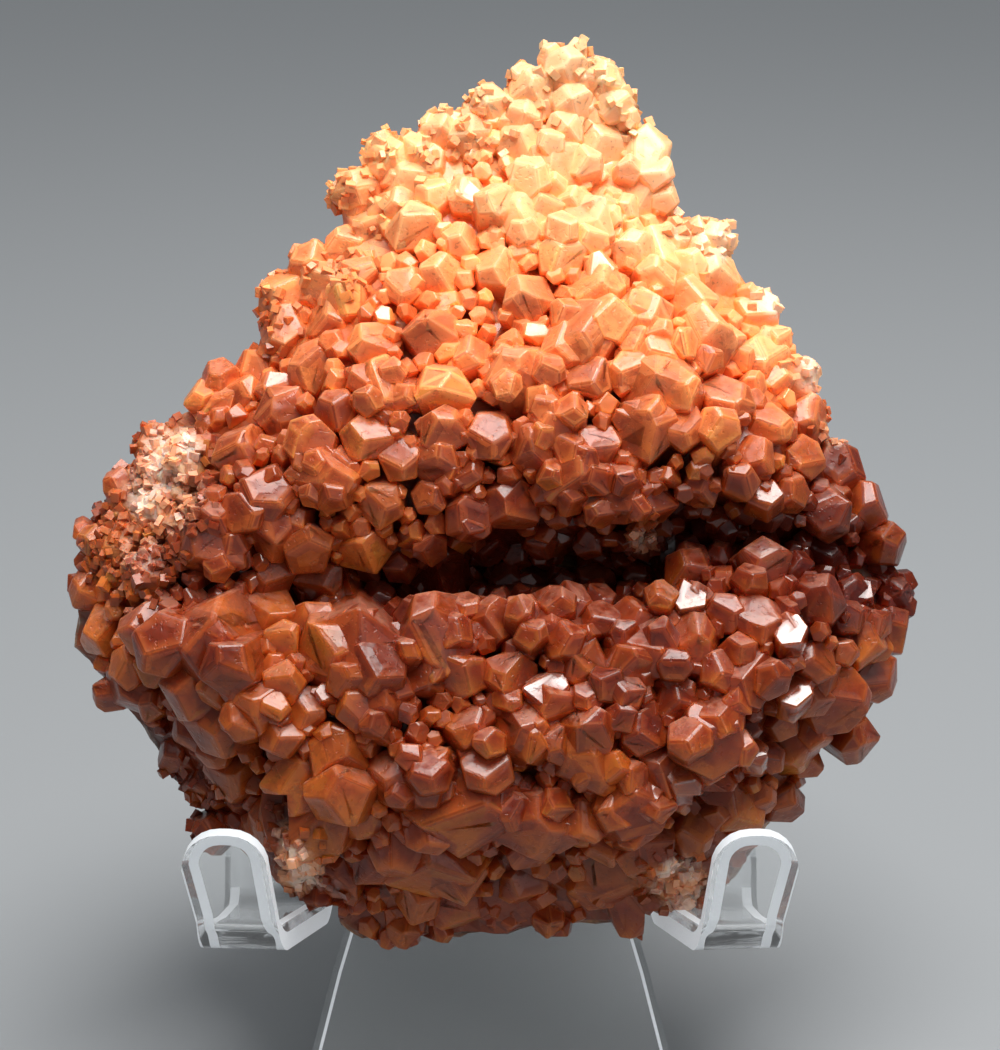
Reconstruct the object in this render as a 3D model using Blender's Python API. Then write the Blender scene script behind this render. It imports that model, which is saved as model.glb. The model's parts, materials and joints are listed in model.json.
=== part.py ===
"""Orange calcite cluster resting on a clear acrylic easel.

Metres, +Z up. The origin is the middle of the level end of the easel's front foot, on the table.
The specimen and the easel share a leaned frame in millimetres: u across, v up along the easel's
back panel, w out of the panel's front face towards the viewer.
"""
import itertools
import math
import random

import bmesh
import bpy
import numpy as np
from mathutils import Matrix, Vector, noise
from mathutils.geometry import delaunay_2d_cdt

MM = 0.001

# Easel: one 3 mm acrylic sheet, 74 mm over the lips
SHEET = 3.0
LEAN = math.radians(20)
FOOT_V = -76.0
LEDGE_V = -48.6
LEDGE_DEPTH = 20.0
BEND = 2.0
LIP_TURN = math.radians(75)
LIP_LENGTH = 11.4
LIP_SLANT = 0.16
SLOT_TOP_V = -43.5
PANEL_TOP_V = 6.0
TOP_BEND = 3.0
LEG_ANGLE = math.radians(22)
EDGE_CHAMFER = 0.8
BEND_STEP = math.radians(22.5)
TRIM = 4.0

# Half widths of the sheet, from the middle of the easel outwards
FOOT_END = 26.2
FOOT_MIDDLE = 20.6
FOOT_NECK = 19.1
SLOT_INNER = 18.0
SLOT_OUTER = 19.6
ARM_ROOT = 20.4
ARM_BACK = 21.2
ARM_FRONT = 24.5
LIP_FOOT = 25.4
LIP_INNER = 26.4
LIP_OUTER = 36.9
LIP_CORNER = 4.6
LIP_FLARE = 1.6
ARM_OUTER = 34.4
PANEL_TOP = 31.0
LEG_END = 27.0

# Heights at which the foot's sides change slope, and the slot's middle line beside them
FOOT_NECK_V = -53.0
FOOT_MIDDLE_V = -58.0
SLOT_MIDDLE = [(SLOT_TOP_V, 18.8), (FOOT_NECK_V, 20.2), (-68, 23.9), (-80, 26.3)]

# Distances down the arm's sheet to where each stretch ends
BEND_START = LEDGE_V + BEND
LEDGE_START = BEND_START - (BEND + SHEET / 2) * math.pi / 2
LEDGE_END = LEDGE_START - (LEDGE_DEPTH - 2 * BEND)
LIP_START = LEDGE_END - (BEND + SHEET / 2) * LIP_TURN
LIP_END = LIP_START - LIP_LENGTH

# The leg folds back over the panel's top until it stands at LEG_ANGLE behind upright
FOLD_TURN = math.pi - LEAN - LEG_ANGLE
FOLD_END = PANEL_TOP_V + (TOP_BEND + SHEET / 2) * FOLD_TURN
FOLD_V = PANEL_TOP_V + (TOP_BEND + SHEET / 2) * math.sin(FOLD_TURN)
FOLD_W = -SHEET - TOP_BEND + (TOP_BEND + SHEET / 2) * math.cos(FOLD_TURN)
FOLD_HEIGHT = (FOLD_V - FOOT_V) * math.cos(LEAN) + (FOLD_W + SHEET / 2) * math.sin(LEAN)
LEG_TIP = FOLD_END + FOLD_HEIGHT / math.cos(LEG_ANGLE) + TRIM

# Specimen: 107 mm across and 112 mm high, places as sighted from in front of the panel
SIGHT = 300.0
SIGHT_PLANE = 12.0
SPECIMEN_U = 1.2
REST_GAP = 0.3
BODY_POINT_SPACING = 9.0
BODY_DEPTH = 3.0
BACK_ROUGHNESS = 2.4
RIM_THICKNESS = 4.5
RIM_BACK = 1.8
RIM_FRONT = 7.0
RIM_REACH = 15.0
CROWDING = 1.14
SEATING = 0.3
ROOT_LENGTH = 1.9
FILLER_SPACING = 4.2
FILLER_WIDTH = (3.8, 5.2)
CORNER_MERGE = 0.05
SEED = 7

# The matrix body's outline, inside the crystals' tips
OUTLINE = [
    (9, 56.5), (14.5, 53), (15, 47), (19.5, 43), (22, 37.5), (27, 35), (32, 28), (33.5, 22), (38, 18),
    (39.5, 12), (42.5, 6), (46.5, 1), (49.5, -6), (50.5, -13), (47.5, -20), (44.5, -26), (39, -28.5),
    (36.5, -34), (31, -40), (27, -45), (22, -48.3), (14, -49), (4, -49.6), (-4, -50.6), (-9, -51),
    (-17, -50.8), (-21.5, -48.3), (-26, -45), (-32.5, -40), (-37.5, -33), (-43.5, -26.5), (-48, -21),
    (-52.5, -15), (-52.5, -8), (-52, -2), (-46, 4.5), (-44, 10), (-38, 15), (-31, 19), (-29, 26),
    (-24, 31), (-18.5, 37), (-18.5, 42.5), (-13, 46), (-7, 50), (1, 53.5),
]

# How far the growth surface stands out of the panel, at heights up the specimen
DOME = [(-56, 5), (-51, 8), (-46, 16), (-38, 23), (-26, 27), (-14, 25.5), (-8, 23), (-2, 22), (4, 24),
        (12, 25), (22, 21.5), (34, 16.5), (46, 11.5), (60, 8)]

# The dark hollow that runs across the middle: places along it, and how deep it is there
HOLLOW = [(-34, -9, 2), (-24, -9, 7), (-13, -7.5, 10), (-2, -5.5, 13), (8, -5, 13), (16, -6, 12),
          (24, -1, 10), (33, -1, 9), (42, -5, 10), (50, -7, 8)]
HOLLOW_HALF_HEIGHT = 3.8

# Well-formed crystals: across, up, width, and how far the tip leans across and up
CRYSTALS = [
    (20.4, 33.5, 10, 0, 0), (10, 24.3, 10, -0.2, 0.2), (17.5, 25.2, 8, 0, -0.2), (26, 23.3, 8, 0.2, 0.2),
    (33, 20, 8, 0.3, 0), (19.2, 17.8, 9, -0.3, 0), (3, 18, 9.5, 0.2, -0.2), (-14.4, 17, 8.2, 0.1, -0.1),
    (-6.9, 16.5, 7, 0.1, -0.3), (-3.6, 21.4, 5, 0, 0.4), (-27.8, 28.3, 7.5, -0.5, 0.3),
    (-27.6, 24, 7, -0.4, 0), (-31.2, 19.3, 6, -0.6, 0), (-22, 5.2, 8, -0.3, -0.2),
    (-20, 31.5, 9.5, -0.2, 0.3), (-35.5, 16, 8.5, -0.5, 0.5), (-35.8, -3, 8.6, -0.2, -0.4),
    (-38, -16.5, 13, -0.3, -0.1), (-18.6, -16.4, 12.5, 0, -0.2), (-8, -13.8, 9.5, 0.3, 0.4),
    (6, -12, 9, 0, 0.2), (18.4, -15.4, 9.4, 0.2, 0.1), (11.6, -28.6, 10, 0.4, -0.1),
    (-4, -34, 13.5, 0.1, 0.1), (-9.6, -31.4, 8.5, -0.3, 0.3), (26, -27, 10, -0.2, 0.2),
    (17, -34.6, 10, 0.1, 0.3), (15, -43.6, 11.5, 0.1, -0.3), (-9, -42.4, 11.5, -0.2, -0.1),
    (-24.5, -35.6, 13, -0.2, 0), (29.6, -35.4, 8, 0.2, -0.1), (36.2, -35, 5.5, 0.5, -0.2),
    (4.6, -37.4, 9.5, 0.2, -0.1), (-46, -20, 8.5, -0.6, -0.3), (-51, -13, 7, -0.8, 0),
    (-44, -12.6, 7.5, -0.2, 0.3), (-30, -21.4, 9, 0.1, 0.1), (-35.5, -24.5, 9, -0.3, -0.2),
    (-15.6, -22.8, 8.5, 0.1, -0.4), (-29, -10.8, 7.5, 0, 0.1), (-23.4, -12.6, 6.5, -0.2, 0.3),
    (-27.4, -14.4, 5, 0, 0), (-4.6, -18.8, 6, 0, 0), (-9.6, -19.2, 6, 0.1, -0.3), (-0.8, -12, 6.5, -0.2, 0),
    (1, -19, 7, 0, 0.1), (6.2, -21, 6.5, 0, 0.5), (10.4, -17, 6.5, 0, 0.2), (14, -21.5, 8, 0, 0.2),
    (12.6, -11.6, 5, -0.3, 0.3), (16.6, -11.4, 6, 0.2, 0.5), (24, -14, 6.5, 0, 0.3),
    (23.6, -9.2, 4.5, 0, 0.5), (28.2, -11, 5, 0, 0), (32, -12, 7, 0, 0), (30.2, -18.4, 9, 0, 0.1),
    (36, -13.2, 4.5, 0.3, 0.2), (39.6, -17, 5.5, 0, 0.3), (36.4, -21.2, 5.5, 0, 0.2),
    (41.6, -22, 8.5, 0.2, 0), (45.5, -14, 8, 0.3, 0.1), (50.2, -13, 6, 0.8, 0), (47, -19, 7, 0.5, -0.2),
    (44.6, -27, 6.5, 0.5, -0.4), (36.8, -27, 8.5, 0.3, 0), (31.5, -28.6, 4.5, 0, 0.2),
    (22.2, -22.4, 5.5, 0, 0), (18.2, -25.8, 6, 0, 0.1), (20.4, -30.6, 7.5, 0, 0.2), (23, -31.4, 4.5, 0, 0.3),
    (2, -25.2, 9, -0.2, 0.2), (-4, -25, 5.5, 0.1, 0.4), (-24.6, -23, 5.5, 0.1, 0), (-27.4, -26, 5.5, 0, 0.2),
    (-20.4, -29, 7.5, 0.2, 0), (-14.4, -31.6, 7, -0.3, 0), (-33.4, -30.6, 7, -0.1, 0.2),
    (-38, -32.6, 5, -0.5, 0), (-41.4, -29, 4.5, -0.6, 0), (-17.4, -37, 6, 0, 0), (-15.8, -42.8, 5.5, 0, -0.2),
    (-20.6, -43.6, 7, -0.1, -0.3), (-26.4, -42.6, 6, -0.3, -0.1), (-5.4, -48, 7, 0, -0.7),
    (3, -45.6, 6.5, 0, -0.4), (10.8, -36.8, 6, 0, 0), (24.2, -38.4, 5.5, 0.2, 0), (22.4, -43.4, 5.5, 0.2, -0.2),
    (22.6, -48, 5, 0.2, -0.5), (-15, 2.6, 5.6, 0, -0.2), (-9, 3, 4.2, 0, -0.2), (-4, 1, 6, -0.2, -0.4),
    (1.6, 2, 7, 0, -0.3), (9, 5.4, 8, 0, -0.3), (14.4, 3.4, 8, 0.1, -0.3), (19.4, 2, 5.5, 0.1, -0.4),
    (7.6, -2.2, 5, 0, -0.4), (18, -2, 4.8, 0, 0), (27.2, -0.6, 6, -0.2, -0.2), (23, -5.6, 6, -0.1, 0.1),
    (33, -5.2, 6.4, 0, 0.1), (40, -9.2, 6.4, 0, 0.2), (41, 1, 6.5, 0, -0.3), (40.4, -3.6, 5, 0, -0.2),
    (46.6, 2.4, 6, 0.6, 0.1), (48.8, -2.6, 5.5, 0.7, 0), (36.6, 3.6, 5, 0, -0.2), (30.2, 5.4, 4.6, 0, 0),
    (25, 4, 4.6, 0, -0.2), (33.2, 1.2, 4.6, 0, 0), (44.4, -8.4, 5, 0.2, 0.4), (-29.4, 3.4, 6.6, -0.2, 0),
    (-32.4, 1.6, 6, 0, 0.2), (-28.4, -1.4, 6.5, 0, -0.2), (-24, -3, 6, 0.1, 0), (-17.2, -3, 6.5, 0, 0),
    (-12, -4.6, 5.4, 0.1, -0.3), (-22.4, -7, 6.4, 0.1, -0.2), (-28.4, -6.8, 5.6, 0, -0.2),
    (-46, 3.4, 8, -0.4, 0.4), (-48, -2.4, 7, -0.5, 0), (-44, -6, 6, -0.2, 0), (-43.4, 10, 6, -0.5, 0.3),
    (-38.8, 8.4, 6.5, -0.2, 0), (-33, 9, 6.5, -0.1, 0), (-24, 10.6, 6.5, 0, 0.2), (-27.4, 14, 6.5, -0.2, 0.3),
    (-20.8, 14.4, 5.5, 0, 0), (-16.4, 11, 6.5, 0, 0), (-7.2, 11.8, 6.5, 0, 0), (-8.4, 8, 6, 0, -0.2),
    (-12.6, 8, 5.4, 0, -0.2), (-1.2, 11, 6.5, 0, 0), (7.4, 12.8, 8, 0, 0.2), (4.4, 9.4, 6.5, 0, -0.1),
    (12.2, 10, 5.6, 0, 0), (18.6, 12, 7.5, 0.1, 0.1), (22.8, 12, 5.5, 0, 0), (27.4, 12, 5.5, 0, 0.2),
    (33.6, 12.6, 6, 0, 0.1), (28.4, 15.6, 7, 0, 0), (39, 13, 6.5, 0.3, 0), (37.8, 18.4, 5.5, 0.5, 0.2),
    (42.8, 7.2, 6, 0.4, 0.1), (38, 8.4, 5.5, 0.1, 0), (32.2, 8.6, 5, 0, 0), (11.2, 18.4, 6, 0, 0),
    (-24, 20, 6.5, -0.2, 0.1), (-16, 22.6, 6.5, 0, 0.1), (-8.6, 24.2, 7, 0, 0.2), (3.6, 28.6, 6.5, 0, 0.2),
    (12, 29.6, 7, 0, 0.2), (24, 28, 6, 0.1, 0), (27.4, 31, 6.5, 0.3, 0), (32.6, 26.6, 6, 0.5, 0),
    (-0.2, 32, 6.5, 0, 0.2), (-7.4, 31.6, 6, 0, 0.1), (-22, 25.6, 6, -0.2, 0.1), (7.8, 33.6, 6, 0, 0.1),
    (3.2, 39.6, 9, 0, 0.3), (10.2, 37.6, 8.5, 0, 0.2), (18, 42.4, 8.5, 0.2, 0.2), (26, 35, 6.5, 0.4, 0.1),
    (7, 44.8, 8, 0, 0.3), (-4.2, 41.2, 5, 0, 0), (-10.8, 37.4, 7, -0.1, 0.1), (-17.4, 37.6, 7, -0.5, 0.1),
    (-10.8, 43, 8, -0.2, 0.2), (13.2, 47.6, 7.5, 0.1, 0.2), (19, 46.8, 6.5, 0.6, 0.3), (2.6, 47.6, 6.5, 0, 0.2),
]

# Rounded sugary lumps of the crest and of the weathered edges: across, up, width
LUMPS = [
    (8.4, 57, 6.5), (12.8, 55.4, 5.5), (14.2, 52.4, 5.5), (4, 54.6, 6), (9, 52.6, 6), (-1.4, 52.6, 5.5),
    (3, 51, 5), (8, 49.4, 5), (-7.4, 49.2, 5.5), (-4, 48.6, 6), (-14, 45.6, 6.4), (-18, 42, 6),
    (-9.8, 46.4, 5.5), (-23.6, 32.8, 6), (26.8, 35.8, 4.5), (-47.4, 1, 5), (-50.6, -2, 5), (-51.4, -8, 5.5),
    (-43, 6.6, 5), (-22.8, -46.8, 4), (18, -49, 4.5), (6, -49.4, 4.5), (-12, -50.6, 5), (34.6, 23, 4.5),
    (49.6, -8.6, 5), (-36, -38.4, 4.5),
]


def leaned(u, v, w):
    """World place, in metres, of a point of the leaned frame."""
    up = v - FOOT_V
    out = w + SHEET / 2
    return Vector((
        u * MM,
        (up * math.sin(LEAN) - out * math.cos(LEAN)) * MM,
        (up * math.cos(LEAN) + out * math.sin(LEAN)) * MM,
    ))


def smooth(x):
    x = min(max(x, 0.0), 1.0)
    return x * x * (3 - 2 * x)


def along(table, x):
    """Value of a table of (place, value) at x, straight between its rows."""
    places = [row[0] for row in table]
    return [float(np.interp(x, places, [row[k] for row in table])) for k in range(1, len(table[0]))]


def rim_distance(u, v):
    """Distance from a place inside the outline to the outline."""
    here = Vector((u, v))
    nearest = 1e9
    for k, (u0, v0) in enumerate(OUTLINE):
        start = Vector((u0, v0))
        side = Vector(OUTLINE[k - 1]) - start
        part = min(max((here - start).dot(side) / side.length_squared, 0.0), 1.0)
        nearest = min(nearest, (start + side * part - here).length)
    return nearest


def inside(u, v):
    found = False
    for k, (u0, v0) in enumerate(OUTLINE):
        u1, v1 = OUTLINE[k - 1]
        if (v0 > v) != (v1 > v) and u < u0 + (v - v0) * (u1 - u0) / (v1 - v0):
            found = not found
    return found


def growth_depth(u, v):
    """How far the surface that the crystals grow from stands out of the panel."""
    dome = along(DOME, v)[0]
    reach = rim_distance(u, v) / RIM_REACH if inside(u, v) else 0.0
    full = smooth(0.15 + reach)
    depth = min(RIM_FRONT, dome) * (1 - full) + dome * full
    hollow_v, hollow = along(HOLLOW, u)
    depth -= hollow * math.exp(-((v - hollow_v) / HOLLOW_HALF_HEIGHT) ** 2) * smooth(0.3 + reach)
    return max(depth, RIM_THICKNESS + 1)


def growth_normal(u, v):
    step = 1.5
    slope_u = (growth_depth(u + step, v) - growth_depth(u - step, v)) / (2 * step)
    slope_v = (growth_depth(u, v + step) - growth_depth(u, v - step)) / (2 * step)
    return Vector((-slope_u, -slope_v, 1)).normalized()


def drawn_in(u, v, w):
    """A sighted place, drawn in towards the line of sight by how near it is."""
    share = (SIGHT - w) / (SIGHT - SIGHT_PLANE)
    return Vector((u * share + SPECIMEN_U, v * share, w))


def body_mesh(rng):
    """The matrix: a lumpy front, a broken back and a thin rim between them."""
    points = [Vector(place) for place in OUTLINE]
    border = len(points)
    for u, v, _ in HOLLOW[:-1]:
        points += [Vector((u, v)), Vector((u + 4, v + 5.5)), Vector((u - 4, v - 5.5))]
    count = int(60 / BODY_POINT_SPACING)
    for i in range(-count, count + 1):
        for j in range(-count, count + 1):
            u = (i + 0.5 * (j % 2)) * BODY_POINT_SPACING + rng.uniform(-1.6, 1.6)
            v = j * BODY_POINT_SPACING + rng.uniform(-1.6, 1.6)
            in_hollow = abs(v - along(HOLLOW, u)[0]) < 8 and u > HOLLOW[0][0] - 4
            if inside(u, v) and rim_distance(u, v) > 0.5 * BODY_POINT_SPACING and not in_hollow:
                points.append(Vector((u, v)))
    edges = [(k, (k + 1) % border) for k in range(border)]
    flat, _, faces, *_ = delaunay_2d_cdt(points, edges, [], 1, 1e-5)
    mesh = bmesh.new()
    front = []
    back = []
    for k, place in enumerate(flat):
        u, v = place
        edge = k < border
        rough = noise.noise(Vector((u * 0.13, v * 0.13, 3.7)))
        depth = RIM_BACK + RIM_THICKNESS if edge else max(growth_depth(u, v) - BODY_DEPTH, RIM_THICKNESS)
        rear = RIM_BACK if edge else REST_GAP + BACK_ROUGHNESS * max(0.5 + rough, 0)
        front.append(mesh.verts.new(drawn_in(u, v, depth)))
        back.append(mesh.verts.new(drawn_in(u, v, rear)))
    for face in faces:
        mesh.faces.new([front[k] for k in face])
        mesh.faces.new([back[k] for k in reversed(face)])
    for k in range(border):
        after = (k + 1) % border
        mesh.faces.new((front[k], back[k], back[after], front[after]))
    return mesh


def corners_of(planes):
    """Corners of the convex body behind planes given as (normal, distance)."""
    normals = np.array([list(normal) for normal, _ in planes])
    distances = np.array([distance for _, distance in planes])
    corners = []
    for trio in itertools.combinations(range(len(planes)), 3):
        rows = normals[list(trio)]
        if abs(np.linalg.det(rows)) < 1e-3:
            continue
        corner = np.linalg.solve(rows, distances[list(trio)])
        if np.all(normals @ corner <= distances + 1e-6):
            if all(np.linalg.norm(corner - other) > CORNER_MERGE for other in corners):
                corners.append(corner)
    return [Vector(corner) for corner in corners]


def direction(tilt, turn):
    return Vector((math.sin(tilt) * math.cos(turn), math.sin(tilt) * math.sin(turn), math.cos(tilt)))


def crystal_planes(rng, root):
    """A stubby calcite crystal of half width 1: five or six sides under a three-faced point."""
    planes = [(Vector((0, 0, -1)), root)]
    sides = rng.choice((5, 6))
    for k in range(sides):
        tilt = math.radians(90 - rng.uniform(0, 7))
        turn = k * math.tau / sides + rng.uniform(-0.09, 0.09)
        planes.append((direction(tilt, turn), rng.uniform(0.84, 1.06)))
    start = rng.choice((0, math.pi / 3)) + math.pi / 6 * rng.choice((0, 0, 1))
    slope = math.radians(rng.uniform(26, 42))
    height = rng.uniform(0.75, 1.1)
    shares = rng.sample((0.8, 1.0, 1.2), 3)
    for k, share in enumerate(shares):
        normal = direction(slope, start + k * math.tau / 3 + rng.uniform(-0.12, 0.12))
        planes.append((normal, normal.z * height * share * rng.uniform(0.92, 1.08)))
    return planes


def lump_planes(rng, root):
    """A sugary lump of half width 1, with many small blunt faces."""
    planes = [(Vector((0, 0, -1)), root)]
    for tilt, faces in ((84, 6), (42, 4)):
        for k in range(faces):
            turn = (k + 0.5 * (tilt < 60)) * math.tau / faces + rng.uniform(-0.2, 0.2)
            planes.append((direction(math.radians(tilt + rng.uniform(-7, 7)), turn), rng.uniform(0.84, 1.0)))
    return planes


def add_polyhedron(mesh, planes, place, axis, twist, size):
    turn = axis.to_track_quat("Z", "Y").to_matrix() @ Matrix.Rotation(twist, 3, "Z")
    verts = [mesh.verts.new(place + turn @ (corner * size)) for corner in corners_of(planes)]
    hull = bmesh.ops.convex_hull(mesh, input=verts)
    loose = [item for item in hull["geom_interior"] if isinstance(item, bmesh.types.BMVert)]
    bmesh.ops.delete(mesh, geom=loose, context="VERTS")
    faces = {face for vert in verts if vert.is_valid for face in vert.link_faces}
    edges = list({edge for face in faces for edge in face.edges})
    bmesh.ops.dissolve_limit(mesh, angle_limit=math.radians(2), verts=[], edges=edges)


def place_crystal(mesh, rng, u, v, width, lean_u, lean_v, planes_of):
    """Seats one crystal on the growth surface, root inside the matrix."""
    depth = growth_depth(u, v)
    normal = growth_normal(u, v)
    axis = Vector((normal.x * 0.35 + lean_u, normal.y * 0.3 + lean_v, 1)).normalized()
    crowding = CROWDING if rim_distance(u, v) > width / 2 else 1.0
    half = width / 2 * crowding * (SIGHT - depth) / (SIGHT - SIGHT_PLANE)
    seat = drawn_in(u, v, depth) - axis * half * SEATING
    root = max(min(ROOT_LENGTH, 0.8 * (seat.z - 2 * REST_GAP) / half), 0.5)
    add_polyhedron(mesh, planes_of(rng, root), seat, axis, rng.uniform(0, math.tau), half)


def filler_places(rng):
    """Small crystals where no well-formed one stands."""
    taken = [(row[0], row[1], row[2] / 2) for row in CRYSTALS + LUMPS]
    count = int(60 / FILLER_SPACING)
    places = []
    for i in range(-count, count + 1):
        for j in range(-count, count + 1):
            u = (i + 0.5 * (j % 2)) * FILLER_SPACING + rng.uniform(-0.8, 0.8)
            v = j * FILLER_SPACING * 0.87 + rng.uniform(-0.8, 0.8)
            width = rng.uniform(*FILLER_WIDTH)
            if not inside(u, v):
                continue
            if all(math.hypot(u - a, v - b) > 0.95 * c + 0.4 * width for a, b, c in taken):
                places.append((u, v, width))
                taken.append((u, v, width / 2))
    return places


def leaned_object(name, mesh):
    """Turns a mesh in the leaned frame into an object in world metres."""
    for vert in mesh.verts:
        vert.co = leaned(*vert.co)
    return world_object(name, mesh)


def world_object(name, mesh):
    bmesh.ops.recalc_face_normals(mesh, faces=mesh.faces)
    data = bpy.data.meshes.new(name)
    mesh.to_mesh(data)
    mesh.free()
    thing = bpy.data.objects.new(name, data)
    bpy.context.scene.collection.objects.link(thing)
    return thing


def calcite_cluster():
    rng = random.Random(SEED)
    cluster = leaned_object("calcite_cluster", body_mesh(rng))
    growth = bmesh.new()
    for u, v, width, lean_u, lean_v in CRYSTALS:
        place_crystal(growth, rng, u, v, width, lean_u, lean_v, crystal_planes)
    for u, v, width in LUMPS:
        place_crystal(growth, rng, u, v, width, 0, 0, lump_planes)
    for u, v, width in filler_places(rng):
        lean_u, lean_v = rng.uniform(-0.4, 0.4), rng.uniform(-0.4, 0.4)
        place_crystal(growth, rng, u, v, width, lean_u, lean_v, crystal_planes)
    combine(cluster, "UNION", leaned_object("crystals", growth))
    combine(cluster, "DIFFERENCE", leaned_object("clearance", clearance_mesh()))
    fill_pockets(cluster)
    return cluster


def combine(thing, operation, other):
    """Joins or cuts thing with other, and keeps only the result."""
    boolean = thing.modifiers.new(operation, "BOOLEAN")
    boolean.operation = operation
    boolean.solver = "EXACT"
    boolean.use_self = operation == "UNION"
    boolean.object = other
    result = bpy.data.meshes.new_from_object(thing.evaluated_get(bpy.context.evaluated_depsgraph_get()))
    thing.modifiers.remove(boolean)
    thing.data = result
    bpy.data.objects.remove(other, do_unlink=True)


def fill_pockets(thing):
    """Keeps the outer skin, so that small pockets shut in between crystals are solid."""
    mesh = bmesh.new()
    mesh.from_mesh(thing.data)
    top = max(mesh.verts, key=lambda vert: vert.co.z)
    outer = {top}
    growing = [top]
    while growing:
        vert = growing.pop()
        for edge in vert.link_edges:
            other = edge.other_vert(vert)
            if other not in outer:
                outer.add(other)
                growing.append(other)
    bmesh.ops.delete(mesh, geom=[vert for vert in mesh.verts if vert not in outer], context="VERTS")
    mesh.to_mesh(thing.data)
    mesh.free()


def add_box(mesh, low, high):
    verts = bmesh.ops.create_cube(mesh, size=1)["verts"]
    middle = (Vector(low) + Vector(high)) / 2
    size = Vector(high) - Vector(low)
    for vert in verts:
        vert.co = middle + Vector(a * b for a, b in zip(vert.co, size))


def clearance_mesh():
    """The room that the easel takes, with the gap that the specimen keeps to it."""
    mesh = bmesh.new()
    far = 80
    near = 40
    add_box(mesh, (-far, -far, -far), (far, far, REST_GAP))
    for side in (-1, 1):
        low, high = sorted((side * (SLOT_OUTER - REST_GAP), side * far))
        add_box(mesh, (low, -far, REST_GAP - 1), (high, LEDGE_V + REST_GAP, near))
        low, high = sorted((side * (ARM_FRONT - REST_GAP), side * far))
        add_box(mesh, (low, LEDGE_V, LEDGE_DEPTH - REST_GAP), (high, LEDGE_V + LIP_LENGTH + 5, near))
    return mesh


def arc(centre, radius, start, end, steps):
    points = []
    for k in range(steps + 1):
        turn = math.radians(start + (end - start) * k / steps)
        points.append((centre[0] + radius * math.cos(turn), centre[1] + radius * math.sin(turn)))
    return points


def sheet_outline():
    """The flat sheet before it is bent: across from the middle, and along from the ledges."""
    slot = (SLOT_OUTER - SLOT_INNER) / 2
    right = [
        (FOOT_END, FOOT_V - TRIM), (FOOT_MIDDLE, FOOT_MIDDLE_V), (FOOT_NECK, FOOT_NECK_V),
        *reversed(arc((SLOT_INNER + slot, SLOT_TOP_V), slot, 0, 180, 6)),
        (ARM_ROOT, BEND_START), (ARM_BACK, LEDGE_START), (ARM_FRONT, LEDGE_END), (LIP_FOOT, LIP_START),
        *arc((LIP_INNER + LIP_CORNER, LIP_END + LIP_CORNER), LIP_CORNER, 180, 270, 6),
        *arc((LIP_OUTER - LIP_CORNER, LIP_END + LIP_CORNER), LIP_CORNER, 270, 360, 6),
        (LIP_OUTER - LIP_FLARE, LIP_START), (ARM_OUTER, LEDGE_START), (ARM_OUTER, SLOT_TOP_V),
        (PANEL_TOP, PANEL_TOP_V), (PANEL_TOP, FOLD_END), (LEG_END, LEG_TIP),
    ]
    return right + [(-across, run) for across, run in reversed(right)]


def sheet_place(across, run, level):
    """Where a point of the flat sheet lies in the leaned frame once the sheet is bent.

    level is 0 on the sheet's back and SHEET on its front.
    """
    slot_line = along(sorted(SLOT_MIDDLE), run)[0]
    if run > PANEL_TOP_V:
        turn = min((run - PANEL_TOP_V) / (TOP_BEND + SHEET / 2), FOLD_TURN)
        radius = TOP_BEND + level
        rest = max(run - FOLD_END, 0)
        v = PANEL_TOP_V + radius * math.sin(turn) + rest * math.cos(turn)
        w = -SHEET - TOP_BEND + radius * math.cos(turn) - rest * math.sin(turn)
        return across, v, w
    if abs(across) < slot_line or run > BEND_START:
        return across, run, level - SHEET
    radius = BEND + SHEET - level
    slant = (LIP_OUTER - abs(across)) * LIP_SLANT
    turn = min((BEND_START - run) / (BEND + SHEET / 2), math.pi / 2)
    v = BEND_START - radius * math.sin(turn)
    w = BEND - radius * math.cos(turn)
    ledge = min(max(LEDGE_START - run, 0), LEDGE_START - LEDGE_END)
    w += ledge * (1 + slant / (LEDGE_START - LEDGE_END))
    if run < LEDGE_END:
        turn = min((LEDGE_END - run) / (BEND + SHEET / 2), LIP_TURN)
        rest = max(LIP_START - run, 0)
        v += radius * (1 - math.cos(turn)) + rest * math.sin(turn)
        w += radius * math.sin(turn) + rest * math.cos(turn)
    return across, v, w


def bend_lines():
    """Places along the sheet where it is divided, so that its bends come out round."""
    lines = [LEDGE_START, LEDGE_END, LIP_START, PANEL_TOP_V, FOLD_END]
    for start, end, turn in (
        (BEND_START, LEDGE_START, math.pi / 2), (LEDGE_END, LIP_START, LIP_TURN),
        (PANEL_TOP_V, FOLD_END, FOLD_TURN),
    ):
        steps = round(turn / BEND_STEP)
        lines += [start + (end - start) * k / steps for k in range(steps)]
    return lines


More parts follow.
